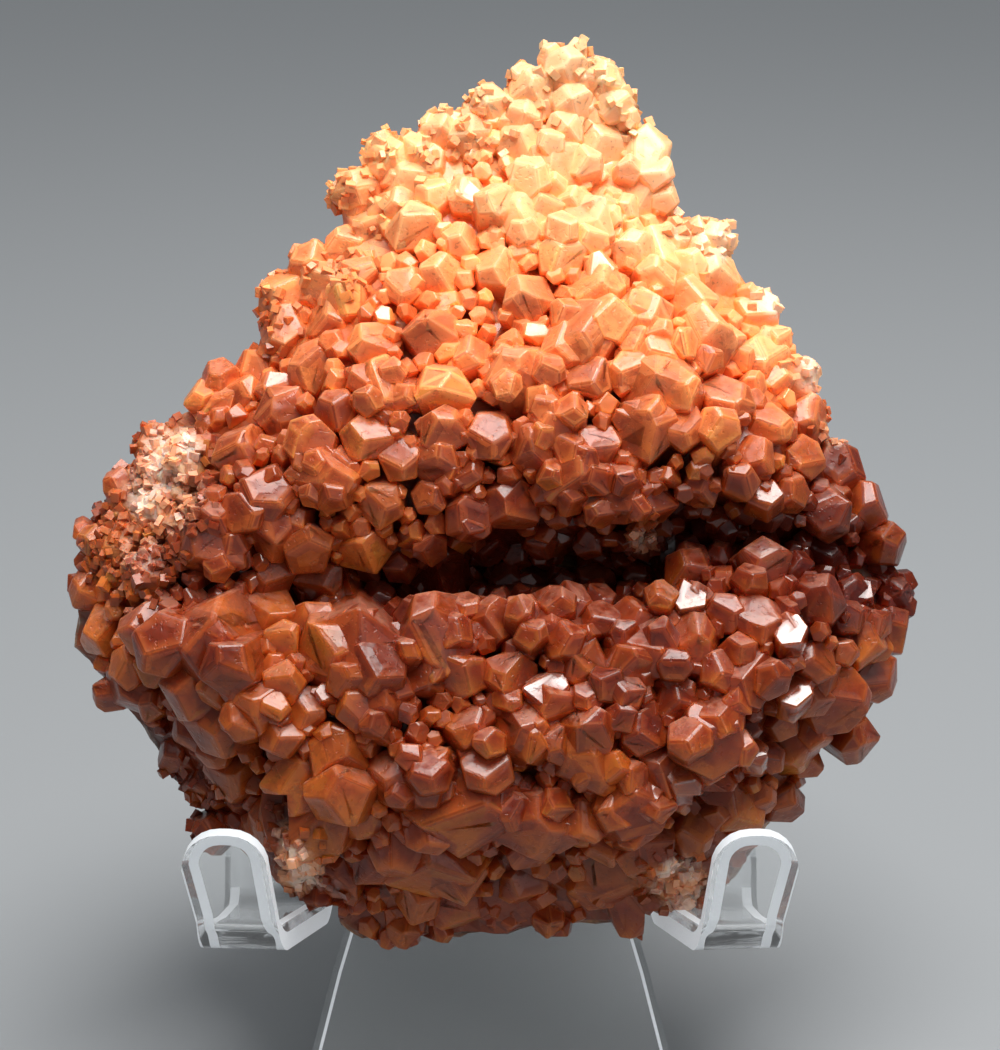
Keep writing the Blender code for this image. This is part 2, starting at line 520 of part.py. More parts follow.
def acrylic_easel():
    mesh = bmesh.new()
    back = mesh.faces.new([mesh.verts.new((across, run, 0)) for across, run in sheet_outline()])
    if back.normal.z > 0:
        back.normal_flip()
    front = bmesh.ops.extrude_face_region(mesh, geom=[back], use_keep_orig=True)["geom"]
    front_verts = [item for item in front if isinstance(item, bmesh.types.BMVert)]
    front_face = [item for item in front if isinstance(item, bmesh.types.BMFace)]
    for vert in front_verts:
        vert.co.z = SHEET - EDGE_CHAMFER
    bmesh.ops.recalc_face_normals(mesh, faces=mesh.faces)
    bmesh.ops.inset_region(mesh, faces=front_face, thickness=EDGE_CHAMFER, use_even_offset=True)
    for vert in front_face[0].verts:
        vert.co.z = SHEET
    bmesh.ops.triangulate(mesh, faces=mesh.faces)
    for run in bend_lines():
        parts = mesh.verts[:] + mesh.edges[:] + mesh.faces[:]
        bmesh.ops.bisect_plane(mesh, geom=parts, plane_co=(0, run, 0), plane_no=(0, 1, 0), dist=1e-4)
    for vert in mesh.verts:
        vert.co = leaned(*sheet_place(*vert.co))
    parts = mesh.verts[:] + mesh.edges[:] + mesh.faces[:]
    bmesh.ops.bisect_plane(mesh, geom=parts, plane_co=(0, 0, 0), plane_no=(0, 0, -1), clear_outer=True)
    open_edges = [edge for edge in mesh.edges if edge.is_boundary]
    bmesh.ops.holes_fill(mesh, edges=open_edges, sides=0)
    bmesh.ops.dissolve_limit(mesh, angle_limit=math.radians(0.3), verts=mesh.verts, edges=mesh.edges)
    return world_object("acrylic_easel", mesh)


def principled(thing, name, colour, roughness, **settings):
    material = bpy.data.materials.new(name)
    material.use_nodes = True
    shader = material.node_tree.nodes["Principled BSDF"]
    shader.inputs["Base Color"].default_value = (*colour, 1)
    shader.inputs["Roughness"].default_value = roughness
    shader.inputs["Metallic"].default_value = 0
    for socket, value in settings.items():
        shader.inputs[socket.replace("_", " ")].default_value = value
    thing.data.materials.append(material)


def main():
    for thing in list(bpy.data.objects):
        bpy.data.objects.remove(thing, do_unlink=True)
    principled(calcite_cluster(), "orange_calcite", (0.55, 0.19, 0.07), 0.35)
    principled(acrylic_easel(), "clear_acrylic", (0.93, 0.96, 0.97), 0.05, Transmission_Weight=1, IOR=1.49)


main()
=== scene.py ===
"""Looks of the orange calcite cluster and of the clear acrylic easel that it rests on.

The specimen and the easel share a leaned frame in millimetres: u across, v up along the easel's
back panel, w out of the panel's front face towards the viewer.
"""
import itertools
import json
import math
import random

import bmesh
import bpy
import numpy as np
from mathutils import Matrix, Vector, noise
from mathutils.geometry import delaunay_2d_cdt

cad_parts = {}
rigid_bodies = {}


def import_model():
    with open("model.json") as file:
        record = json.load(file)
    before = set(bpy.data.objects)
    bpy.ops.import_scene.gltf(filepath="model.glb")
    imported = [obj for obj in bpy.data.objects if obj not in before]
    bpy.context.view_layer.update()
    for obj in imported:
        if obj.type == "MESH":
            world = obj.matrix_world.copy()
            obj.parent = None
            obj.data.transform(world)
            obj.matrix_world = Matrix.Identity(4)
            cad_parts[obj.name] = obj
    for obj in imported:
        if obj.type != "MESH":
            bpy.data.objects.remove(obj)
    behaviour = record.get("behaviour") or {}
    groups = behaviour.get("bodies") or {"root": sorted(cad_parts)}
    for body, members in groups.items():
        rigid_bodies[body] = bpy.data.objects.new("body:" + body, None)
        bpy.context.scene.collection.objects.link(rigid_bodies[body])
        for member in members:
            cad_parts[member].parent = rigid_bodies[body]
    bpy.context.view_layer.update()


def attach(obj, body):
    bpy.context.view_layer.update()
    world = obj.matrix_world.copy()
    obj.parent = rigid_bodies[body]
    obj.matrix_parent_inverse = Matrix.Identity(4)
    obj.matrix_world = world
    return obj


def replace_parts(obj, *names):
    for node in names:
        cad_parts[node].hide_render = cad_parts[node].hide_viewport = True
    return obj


MM = 0.001

# Easel: one 3 mm acrylic sheet, 74 mm over the lips
SHEET = 3.0
LEAN = math.radians(20)
FOOT_V = -76.0
LEDGE_V = -48.6
LEDGE_DEPTH = 20.0
BEND = 2.0
LIP_TURN = math.radians(75)
LIP_LENGTH = 11.4
LIP_SLANT = 0.16
SLOT_TOP_V = -43.5
PANEL_TOP_V = 6.0
TOP_BEND = 3.0
LEG_ANGLE = math.radians(22)
EDGE_CHAMFER = 0.8
LIP_BAND = 1.2
FOOT_BAND = 0.4
BEND_STEP = math.radians(7.5)
TRIM = 4.0

# Half widths of the sheet, from the middle of the easel outwards
FOOT_END = 26.2
FOOT_MIDDLE = 20.6
FOOT_NECK = 19.1
SLOT_INNER = 18.0
SLOT_OUTER = 19.6
ARM_ROOT = 20.4
ARM_BACK = 21.2
ARM_FRONT = 24.5
LIP_FOOT = 25.4
LIP_INNER = 26.4
LIP_OUTER = 36.9
LIP_CORNER = 4.6
LIP_FLARE = 1.6
ARM_OUTER = 34.4
PANEL_TOP = 31.0
LEG_END = 27.0

# Heights at which the foot's sides change slope, and the slot's middle line beside them
FOOT_NECK_V = -53.0
FOOT_MIDDLE_V = -58.0
SLOT_MIDDLE = [(SLOT_TOP_V, 18.8), (FOOT_NECK_V, 20.2), (-68, 23.9), (-80, 26.3)]

# Distances down the arm's sheet to where each stretch ends
BEND_START = LEDGE_V + BEND
LEDGE_START = BEND_START - (BEND + SHEET / 2) * math.pi / 2
LEDGE_END = LEDGE_START - (LEDGE_DEPTH - 2 * BEND)
LIP_START = LEDGE_END - (BEND + SHEET / 2) * LIP_TURN
LIP_END = LIP_START - LIP_LENGTH

# The leg folds back over the panel's top until it stands at LEG_ANGLE behind upright
FOLD_TURN = math.pi - LEAN - LEG_ANGLE
FOLD_END = PANEL_TOP_V + (TOP_BEND + SHEET / 2) * FOLD_TURN
FOLD_V = PANEL_TOP_V + (TOP_BEND + SHEET / 2) * math.sin(FOLD_TURN)
FOLD_W = -SHEET - TOP_BEND + (TOP_BEND + SHEET / 2) * math.cos(FOLD_TURN)
FOLD_HEIGHT = (FOLD_V - FOOT_V) * math.cos(LEAN) + (FOLD_W + SHEET / 2) * math.sin(LEAN)
LEG_TIP = FOLD_END + FOLD_HEIGHT / math.cos(LEG_ANGLE) + TRIM

# Specimen: 107 mm across and 112 mm high, places as sighted from in front of the panel
SIGHT = 300.0
SIGHT_PLANE = 12.0
SPECIMEN_U = 1.2
REST_GAP = 0.3
BODY_POINT_SPACING = 9.0
BODY_DEPTH = 3.0
BACK_ROUGHNESS = 2.4
RIM_THICKNESS = 4.5
RIM_BACK = 1.8
RIM_FRONT = 7.0
RIM_REACH = 15.0
CROWDING = 1.02
SEATING = 0.3
ROOT_LENGTH = 1.9
FILLER_SPACING = 4.2
FILLER_WIDTH = (3.8, 5.2)
CORNER_MERGE = 0.05
SEED = 7

# The matrix body's outline, inside the crystals' tips
OUTLINE = [
    (9, 56.5), (14.5, 53), (15, 47), (19.5, 43), (22, 37.5), (27, 35), (32, 28), (33.5, 22), (38, 18),
    (39.5, 12), (42.5, 6), (46.5, 1), (49.5, -6), (50.5, -13), (47.5, -20), (44.5, -26), (39, -28.5),
    (36.5, -34), (31, -40), (27, -45), (22, -48.3), (14, -49), (4, -49.6), (-4, -50.6), (-9, -51),
    (-17, -50.8), (-21.5, -48.3), (-26, -45), (-32.5, -40), (-37.5, -33), (-43.5, -26.5), (-48, -21),
    (-52.5, -15), (-52.5, -8), (-52, -2), (-46, 4.5), (-44, 10), (-38, 15), (-31, 19), (-29, 26),
    (-24, 31), (-18.5, 37), (-18.5, 42.5), (-13, 46), (-7, 50), (1, 53.5),
]

# How far the growth surface stands out of the panel, at heights up the specimen
DOME = [(-56, 5), (-51, 8), (-46, 16), (-38, 23), (-26, 27), (-14, 25.5), (-8, 23), (-2, 22), (4, 24),
        (12, 25), (22, 21.5), (34, 16.5), (46, 11.5), (60, 8)]

# The dark hollow that runs across the middle: places along it, and how deep it is there
HOLLOW = [(-34, -9, 2), (-24, -9, 7), (-13, -7.5, 10), (-2, -5.5, 13), (8, -5, 13), (16, -6, 12),
          (24, -1, 10), (33, -1, 9), (42, -5, 10), (50, -7, 8)]
HOLLOW_HALF_HEIGHT = 3.8

# Well-formed crystals: across, up, width, and how far the tip leans across and up
CRYSTALS = [
    (20.4, 33.5, 10, 0, 0), (10, 24.3, 10, -0.2, 0.2), (17.5, 25.2, 8, 0, -0.2), (26, 23.3, 8, 0.2, 0.2),
    (33, 20, 8, 0.3, 0), (19.2, 17.8, 9, -0.3, 0), (3, 18, 9.5, 0.2, -0.2), (-14.4, 17, 8.2, 0.1, -0.1),
    (-6.9, 16.5, 7, 0.1, -0.3), (-3.6, 21.4, 5, 0, 0.4), (-27.8, 28.3, 7.5, -0.5, 0.3),
    (-27.6, 24, 7, -0.4, 0), (-31.2, 19.3, 6, -0.6, 0), (-22, 5.2, 8, -0.3, -0.2),
    (-20, 31.5, 9.5, -0.2, 0.3), (-35.5, 16, 8.5, -0.5, 0.5), (-35.8, -3, 8.6, -0.2, -0.4),
    (-38, -16.5, 13, -0.3, -0.1), (-18.6, -16.4, 12.5, 0, -0.2), (-8, -13.8, 9.5, 0.3, 0.4),
    (6, -12, 9, 0, 0.2), (18.4, -15.4, 9.4, 0.2, 0.1), (11.6, -28.6, 10, 0.4, -0.1),
    (-4, -34, 13.5, 0.1, 0.1), (-9.6, -31.4, 8.5, -0.3, 0.3), (26, -27, 10, -0.2, 0.2),
    (17, -34.6, 10, 0.1, 0.3), (15, -43.6, 11.5, 0.1, -0.3), (-9, -42.4, 11.5, -0.2, -0.1),
    (-24.5, -35.6, 13, -0.2, 0), (29.6, -35.4, 8, 0.2, -0.1), (36.2, -35, 5.5, 0.5, -0.2),
    (4.6, -37.4, 9.5, 0.2, -0.1), (-46, -20, 8.5, -0.6, -0.3), (-51, -13, 7, -0.8, 0),
    (-44, -12.6, 7.5, -0.2, 0.3), (-30, -21.4, 9, 0.1, 0.1), (-35.5, -24.5, 9, -0.3, -0.2),
    (-15.6, -22.8, 8.5, 0.1, -0.4), (-29, -10.8, 7.5, 0, 0.1), (-23.4, -12.6, 6.5, -0.2, 0.3),
    (-27.4, -14.4, 5, 0, 0), (-4.6, -18.8, 6, 0, 0), (-9.6, -19.2, 6, 0.1, -0.3), (-0.8, -12, 6.5, -0.2, 0),
    (1, -19, 7, 0, 0.1), (6.2, -21, 6.5, 0, 0.5), (10.4, -17, 6.5, 0, 0.2), (14, -21.5, 8, 0, 0.2),
    (12.6, -11.6, 5, -0.3, 0.3), (16.6, -11.4, 6, 0.2, 0.5), (24, -14, 6.5, 0, 0.3),
    (23.6, -9.2, 4.5, 0, 0.5), (28.2, -11, 5, 0, 0), (32, -12, 7, 0, 0), (30.2, -18.4, 9, 0, 0.1),
    (36, -13.2, 4.5, 0.3, 0.2), (39.6, -17, 5.5, 0, 0.3), (36.4, -21.2, 5.5, 0, 0.2),
    (41.6, -22, 8.5, 0.2, 0), (45.5, -14, 8, 0.3, 0.1), (50.2, -13, 6, 0.8, 0), (47, -19, 7, 0.5, -0.2),
    (44.6, -27, 6.5, 0.5, -0.4), (36.8, -27, 8.5, 0.3, 0), (31.5, -28.6, 4.5, 0, 0.2),
    (22.2, -22.4, 5.5, 0, 0), (18.2, -25.8, 6, 0, 0.1), (20.4, -30.6, 7.5, 0, 0.2), (23, -31.4, 4.5, 0, 0.3),
    (2, -25.2, 9, -0.2, 0.2), (-4, -25, 5.5, 0.1, 0.4), (-24.6, -23, 5.5, 0.1, 0), (-27.4, -26, 5.5, 0, 0.2),
    (-20.4, -29, 7.5, 0.2, 0), (-14.4, -31.6, 7, -0.3, 0), (-33.4, -30.6, 7, -0.1, 0.2),
    (-38, -32.6, 5, -0.5, 0), (-41.4, -29, 4.5, -0.6, 0), (-17.4, -37, 6, 0, 0), (-15.8, -42.8, 5.5, 0, -0.2),
    (-20.6, -43.6, 7, -0.1, -0.3), (-26.4, -42.6, 6, -0.3, -0.1), (-5.4, -48, 7, 0, -0.7),
    (3, -45.6, 6.5, 0, -0.4), (10.8, -36.8, 6, 0, 0), (24.2, -38.4, 5.5, 0.2, 0), (22.4, -43.4, 5.5, 0.2, -0.2),
    (22.6, -48, 5, 0.2, -0.5), (-15, 2.6, 5.6, 0, -0.2), (-9, 3, 4.2, 0, -0.2), (-4, 1, 6, -0.2, -0.4),
    (1.6, 2, 7, 0, -0.3), (9, 5.4, 8, 0, -0.3), (14.4, 3.4, 8, 0.1, -0.3), (19.4, 2, 5.5, 0.1, -0.4),
    (7.6, -2.2, 5, 0, -0.4), (18, -2, 4.8, 0, 0), (27.2, -0.6, 6, -0.2, -0.2), (23, -5.6, 6, -0.1, 0.1),
    (33, -5.2, 6.4, 0, 0.1), (40, -9.2, 6.4, 0, 0.2), (41, 1, 6.5, 0, -0.3), (40.4, -3.6, 5, 0, -0.2),
    (46.6, 2.4, 6, 0.6, 0.1), (48.8, -2.6, 5.5, 0.7, 0), (36.6, 3.6, 5, 0, -0.2), (30.2, 5.4, 4.6, 0, 0),
    (25, 4, 4.6, 0, -0.2), (33.2, 1.2, 4.6, 0, 0), (44.4, -8.4, 5, 0.2, 0.4), (-29.4, 3.4, 6.6, -0.2, 0),
    (-32.4, 1.6, 6, 0, 0.2), (-28.4, -1.4, 6.5, 0, -0.2), (-24, -3, 6, 0.1, 0), (-17.2, -3, 6.5, 0, 0),
    (-12, -4.6, 5.4, 0.1, -0.3), (-22.4, -7, 6.4, 0.1, -0.2), (-28.4, -6.8, 5.6, 0, -0.2),
    (-46, 3.4, 8, -0.4, 0.4), (-48, -2.4, 7, -0.5, 0), (-44, -6, 6, -0.2, 0), (-43.4, 10, 6, -0.5, 0.3),
    (-38.8, 8.4, 6.5, -0.2, 0), (-33, 9, 6.5, -0.1, 0), (-24, 10.6, 6.5, 0, 0.2), (-27.4, 14, 6.5, -0.2, 0.3),
    (-20.8, 14.4, 5.5, 0, 0), (-16.4, 11, 6.5, 0, 0), (-7.2, 11.8, 6.5, 0, 0), (-8.4, 8, 6, 0, -0.2),
    (-12.6, 8, 5.4, 0, -0.2), (-1.2, 11, 6.5, 0, 0), (7.4, 12.8, 8, 0, 0.2), (4.4, 9.4, 6.5, 0, -0.1),
    (12.2, 10, 5.6, 0, 0), (18.6, 12, 7.5, 0.1, 0.1), (22.8, 12, 5.5, 0, 0), (27.4, 12, 5.5, 0, 0.2),
    (33.6, 12.6, 6, 0, 0.1), (28.4, 15.6, 7, 0, 0), (39, 13, 6.5, 0.3, 0), (37.8, 18.4, 5.5, 0.5, 0.2),
    (42.8, 7.2, 6, 0.4, 0.1), (38, 8.4, 5.5, 0.1, 0), (32.2, 8.6, 5, 0, 0), (11.2, 18.4, 6, 0, 0),
    (-24, 20, 6.5, -0.2, 0.1), (-16, 22.6, 6.5, 0, 0.1), (-8.6, 24.2, 7, 0, 0.2), (3.6, 28.6, 6.5, 0, 0.2),
    (12, 29.6, 7, 0, 0.2), (24, 28, 6, 0.1, 0), (27.4, 31, 6.5, 0.3, 0), (32.6, 26.6, 6, 0.5, 0),
    (-0.2, 32, 6.5, 0, 0.2), (-7.4, 31.6, 6, 0, 0.1), (-22, 25.6, 6, -0.2, 0.1), (7.8, 33.6, 6, 0, 0.1),
    (3.2, 39.6, 9, 0, 0.3), (10.2, 37.6, 8.5, 0, 0.2), (18, 42.4, 8.5, 0.2, 0.2), (26, 35, 6.5, 0.4, 0.1),
    (7, 44.8, 8, 0, 0.3), (-4.2, 41.2, 5, 0, 0), (-10.8, 37.4, 7, -0.1, 0.1), (-17.4, 37.6, 7, -0.5, 0.1),
    (-10.8, 43, 8, -0.2, 0.2), (13.2, 47.6, 7.5, 0.1, 0.2), (19, 46.8, 6.5, 0.6, 0.3), (2.6, 47.6, 6.5, 0, 0.2),
]

# Rounded sugary lumps of the crest and of the weathered edges: across, up, width
LUMPS = [
    (8.4, 57, 6.5), (12.8, 55.4, 5.5), (14.2, 52.4, 5.5), (4, 54.6, 6), (9, 52.6, 6), (-1.4, 52.6, 5.5),
    (3, 51, 5), (8, 49.4, 5), (-7.4, 49.2, 5.5), (-4, 48.6, 6), (-14, 45.6, 6.4), (-18, 42, 6),
    (-9.8, 46.4, 5.5), (-23.6, 32.8, 6), (26.8, 35.8, 4.5), (-47.4, 1, 5), (-50.6, -2, 5), (-51.4, -8, 5.5),
    (-43, 6.6, 5), (-22.8, -46.8, 4), (18, -49, 4.5), (6, -49.4, 4.5), (-12, -50.6, 5), (34.6, 23, 4.5),
    (49.6, -8.6, 5), (-36, -38.4, 4.5),
]


def leaned(u, v, w):
    """World place, in metres, of a point of the leaned frame."""
    up = v - FOOT_V
    out = w + SHEET / 2
    return Vector((
        u * MM,
        (up * math.sin(LEAN) - out * math.cos(LEAN)) * MM,
        (up * math.cos(LEAN) + out * math.sin(LEAN)) * MM,
    ))


def smooth(x):
    x = min(max(x, 0.0), 1.0)
    return x * x * (3 - 2 * x)


def along(table, x):
    """Value of a table of (place, value) at x, straight between its rows."""
    places = [row[0] for row in table]
    return [float(np.interp(x, places, [row[k] for row in table])) for k in range(1, len(table[0]))]


def rim_distance(u, v):
    """Distance from a place inside the outline to the outline."""
    here = Vector((u, v))
    nearest = 1e9
    for k, (u0, v0) in enumerate(OUTLINE):
        start = Vector((u0, v0))
        side = Vector(OUTLINE[k - 1]) - start
        part = min(max((here - start).dot(side) / side.length_squared, 0.0), 1.0)
        nearest = min(nearest, (start + side * part - here).length)
    return nearest


def inside(u, v):
    found = False
    for k, (u0, v0) in enumerate(OUTLINE):
        u1, v1 = OUTLINE[k - 1]
        if (v0 > v) != (v1 > v) and u < u0 + (v - v0) * (u1 - u0) / (v1 - v0):
            found = not found
    return found


def growth_depth(u, v):
    """How far the surface that the crystals grow from stands out of the panel."""
    dome = along(DOME, v)[0]
    reach = rim_distance(u, v) / RIM_REACH if inside(u, v) else 0.0
    full = smooth(0.15 + reach)
    depth = min(RIM_FRONT, dome) * (1 - full) + dome * full
    hollow_v, hollow = along(HOLLOW, u)
    depth -= hollow * math.exp(-((v - hollow_v) / HOLLOW_HALF_HEIGHT) ** 2) * smooth(0.3 + reach)
    return max(depth, RIM_THICKNESS + 1)


def growth_normal(u, v):
    step = 1.5
    slope_u = (growth_depth(u + step, v) - growth_depth(u - step, v)) / (2 * step)
    slope_v = (growth_depth(u, v + step) - growth_depth(u, v - step)) / (2 * step)
    return Vector((-slope_u, -slope_v, 1)).normalized()


def drawn_in(u, v, w):
    """A sighted place, drawn in towards the line of sight by how near it is."""
    share = (SIGHT - w) / (SIGHT - SIGHT_PLANE)
    return Vector((u * share + SPECIMEN_U, v * share, w))


def body_mesh(rng):
    """The matrix: a lumpy front, a broken back and a thin rim between them."""
    points = [Vector(place) for place in OUTLINE]
    border = len(points)
    for u, v, _ in HOLLOW[:-1]:
        points += [Vector((u, v)), Vector((u + 4, v + 5.5)), Vector((u - 4, v - 5.5))]
    count = int(60 / BODY_POINT_SPACING)
    for i in range(-count, count + 1):
        for j in range(-count, count + 1):
            u = (i + 0.5 * (j % 2)) * BODY_POINT_SPACING + rng.uniform(-1.6, 1.6)
            v = j * BODY_POINT_SPACING + rng.uniform(-1.6, 1.6)
            in_hollow = abs(v - along(HOLLOW, u)[0]) < 8 and u > HOLLOW[0][0] - 4
            if inside(u, v) and rim_distance(u, v) > 0.5 * BODY_POINT_SPACING and not in_hollow:
                points.append(Vector((u, v)))
    edges = [(k, (k + 1) % border) for k in range(border)]
    flat, _, faces, *_ = delaunay_2d_cdt(points, edges, [], 1, 1e-5)
    mesh = bmesh.new()
    front = []
    back = []
    for k, place in enumerate(flat):
        u, v = place
        edge = k < border
        rough = noise.noise(Vector((u * 0.13, v * 0.13, 3.7)))
        depth = RIM_BACK + RIM_THICKNESS if edge else max(growth_depth(u, v) - BODY_DEPTH, RIM_THICKNESS)
        rear = RIM_BACK if edge else REST_GAP + BACK_ROUGHNESS * max(0.5 + rough, 0)
        front.append(mesh.verts.new(drawn_in(u, v, depth)))
        back.append(mesh.verts.new(drawn_in(u, v, rear)))
    for face in faces:
        mesh.faces.new([front[k] for k in face])
        mesh.faces.new([back[k] for k in reversed(face)])
    for k in range(border):
        after = (k + 1) % border
        mesh.faces.new((front[k], back[k], back[after], front[after]))
    return mesh


def corners_of(planes):
    """Corners of the convex body behind planes given as (normal, distance)."""
    normals = np.array([list(normal) for normal, _ in planes])
    distances = np.array([distance for _, distance in planes])
    corners = []
    for trio in itertools.combinations(range(len(planes)), 3):
        rows = normals[list(trio)]
        if abs(np.linalg.det(rows)) < 1e-3:
            continue
        corner = np.linalg.solve(rows, distances[list(trio)])
        if np.all(normals @ corner <= distances + 1e-6):
            if all(np.linalg.norm(corner - other) > CORNER_MERGE for other in corners):
                corners.append(corner)
    return [Vector(corner) for corner in corners]


def direction(tilt, turn):
    return Vector((math.sin(tilt) * math.cos(turn), math.sin(tilt) * math.sin(turn), math.cos(tilt)))


def crystal_planes(rng, root):
    """A stubby calcite crystal of half width 1: five or six sides under a three-faced point."""
    planes = [(Vector((0, 0, -1)), root)]
    sides = rng.choice((5, 6))
    for k in range(sides):
        tilt = math.radians(90 - rng.uniform(0, 7))
        turn = k * math.tau / sides + rng.uniform(-0.09, 0.09)
        planes.append((direction(tilt, turn), rng.uniform(0.84, 1.06)))
    start = rng.choice((0, math.pi / 3)) + math.pi / 6 * rng.choice((0, 0, 1))
    slope = math.radians(rng.uniform(26, 42))
    height = rng.uniform(0.75, 1.1)
    shares = rng.sample((0.8, 1.0, 1.2), 3)
    for k, share in enumerate(shares):
        normal = direction(slope, start + k * math.tau / 3 + rng.uniform(-0.12, 0.12))
        planes.append((normal, normal.z * height * share * rng.uniform(0.92, 1.08)))
    return planes


def lump_planes(rng, root):
    """A sugary lump of half width 1, with many small blunt faces."""
    planes = [(Vector((0, 0, -1)), root)]
    for tilt, faces in ((84, 6), (42, 4)):
        for k in range(faces):
            turn = (k + 0.5 * (tilt < 60)) * math.tau / faces + rng.uniform(-0.2, 0.2)
            planes.append((direction(math.radians(tilt + rng.uniform(-7, 7)), turn), rng.uniform(0.84, 1.0)))
    return planes


def add_polyhedron(mesh, planes, place, axis, twist, size):
    turn = axis.to_track_quat("Z", "Y").to_matrix() @ Matrix.Rotation(twist, 3, "Z")
    verts = [mesh.verts.new(place + turn @ (corner * size)) for corner in corners_of(planes)]
    hull = bmesh.ops.convex_hull(mesh, input=verts)
    loose = [item for item in hull["geom_interior"] if isinstance(item, bmesh.types.BMVert)]
    bmesh.ops.delete(mesh, geom=loose, context="VERTS")
    faces = {face for vert in verts if vert.is_valid for face in vert.link_faces}
    edges = list({edge for face in faces for edge in face.edges})
    bmesh.ops.dissolve_limit(mesh, angle_limit=math.radians(2), verts=[], edges=edges)


def place_crystal(mesh, rng, u, v, width, lean_u, lean_v, planes_of):
    """Seats one crystal on the growth surface, root inside the matrix."""
    depth = growth_depth(u, v)
    normal = growth_normal(u, v)
    axis = Vector((normal.x * 0.35 + lean_u, normal.y * 0.3 + lean_v, 1)).normalized()
    crowding = CROWDING if rim_distance(u, v) > width / 2 else 1.0
    half = width / 2 * crowding * (SIGHT - depth) / (SIGHT - SIGHT_PLANE)
    seat = drawn_in(u, v, depth) - axis * half * SEATING
    root = max(min(ROOT_LENGTH, 0.8 * (seat.z - 2 * REST_GAP) / half), 0.5)
    add_polyhedron(mesh, planes_of(rng, root), seat, axis, rng.uniform(0, math.tau), half)


def filler_places(rng):
    """Small crystals where no well-formed one stands."""
    taken = [(row[0], row[1], row[2] / 2) for row in CRYSTALS + LUMPS]
    count = int(60 / FILLER_SPACING)
    places = []
    for i in range(-count, count + 1):
        for j in range(-count, count + 1):
            u = (i + 0.5 * (j % 2)) * FILLER_SPACING + rng.uniform(-0.8, 0.8)
            v = j * FILLER_SPACING * 0.87 + rng.uniform(-0.8, 0.8)
            width = rng.uniform(*FILLER_WIDTH)
            if not inside(u, v):
                continue
            if all(math.hypot(u - a, v - b) > 0.95 * c + 0.4 * width for a, b, c in taken):
                places.append((u, v, width))
                taken.append((u, v, width / 2))
    return places


def add_box(mesh, low, high):
    verts = bmesh.ops.create_cube(mesh, size=1)["verts"]
    middle = (Vector(low) + Vector(high)) / 2
    size = Vector(high) - Vector(low)
    for vert in verts:
        vert.co = middle + Vector(a * b for a, b in zip(vert.co, size))


def clearance_mesh():
    """The room that the easel takes, with the gap that the specimen keeps to it."""
    mesh = bmesh.new()
    far = 80
    near = 40
    add_box(mesh, (-far, -far, -far), (far, far, REST_GAP))
    for side in (-1, 1):
        low, high = sorted((side * (SLOT_OUTER - REST_GAP), side * far))
        add_box(mesh, (low, -far, REST_GAP - 1), (high, LEDGE_V + REST_GAP, near))
        low, high = sorted((side * (ARM_FRONT - REST_GAP), side * far))
        add_box(mesh, (low, LEDGE_V, LEDGE_DEPTH - REST_GAP), (high, LEDGE_V + LIP_LENGTH + 5, near))
    return mesh


def arc(centre, radius, start, end, steps):
    points = []
    for k in range(steps + 1):
        turn = math.radians(start + (end - start) * k / steps)
        points.append((centre[0] + radius * math.cos(turn), centre[1] + radius * math.sin(turn)))
    return points


def sheet_outline():
    """The flat sheet before it is bent: across from the middle, and along from the ledges."""
    slot = (SLOT_OUTER - SLOT_INNER) / 2
    right = [
        (FOOT_END, FOOT_V - TRIM), (FOOT_MIDDLE, FOOT_MIDDLE_V), (FOOT_NECK, FOOT_NECK_V),
        *reversed(arc((SLOT_INNER + slot, SLOT_TOP_V), slot, 0, 180, 6)),
        (ARM_ROOT, BEND_START), (ARM_BACK, LEDGE_START), (ARM_FRONT, LEDGE_END), (LIP_FOOT, LIP_START),
        *arc((LIP_INNER + LIP_CORNER, LIP_END + LIP_CORNER), LIP_CORNER, 180, 270, 6),
        *arc((LIP_OUTER - LIP_CORNER, LIP_END + LIP_CORNER), LIP_CORNER, 270, 360, 6),
        (LIP_OUTER - LIP_FLARE, LIP_START), (ARM_OUTER, LEDGE_START), (ARM_OUTER, SLOT_TOP_V),
        (PANEL_TOP, PANEL_TOP_V), (PANEL_TOP, FOLD_END), (LEG_END, LEG_TIP),
    ]
    return right + [(-across, run) for across, run in reversed(right)]


def sheet_place(across, run, level):
    """Where a point of the flat sheet lies in the leaned frame once the sheet is bent.

    level is 0 on the sheet's back and SHEET on its front.
    """
    slot_line = along(sorted(SLOT_MIDDLE), run)[0]
    if run > PANEL_TOP_V:
        turn = min((run - PANEL_TOP_V) / (TOP_BEND + SHEET / 2), FOLD_TURN)
        radius = TOP_BEND + level
        rest = max(run - FOLD_END, 0)
        v = PANEL_TOP_V + radius * math.sin(turn) + rest * math.cos(turn)
        w = -SHEET - TOP_BEND + radius * math.cos(turn) - rest * math.sin(turn)
        return across, v, w
    if abs(across) < slot_line or run > BEND_START:
        return across, run, level - SHEET
    radius = BEND + SHEET - level
    slant = (LIP_OUTER - abs(across)) * LIP_SLANT
    turn = min((BEND_START - run) / (BEND + SHEET / 2), math.pi / 2)
    v = BEND_START - radius * math.sin(turn)
    w = BEND - radius * math.cos(turn)
    ledge = min(max(LEDGE_START - run, 0), LEDGE_START - LEDGE_END)
    w += ledge * (1 + slant / (LEDGE_START - LEDGE_END))
    if run < LEDGE_END:
        turn = min((LEDGE_END - run) / (BEND + SHEET / 2), LIP_TURN)
        rest = max(LIP_START - run, 0)
        v += radius * (1 - math.cos(turn)) + rest * math.sin(turn)
        w += radius * math.sin(turn) + rest * math.cos(turn)
    return across, v, w


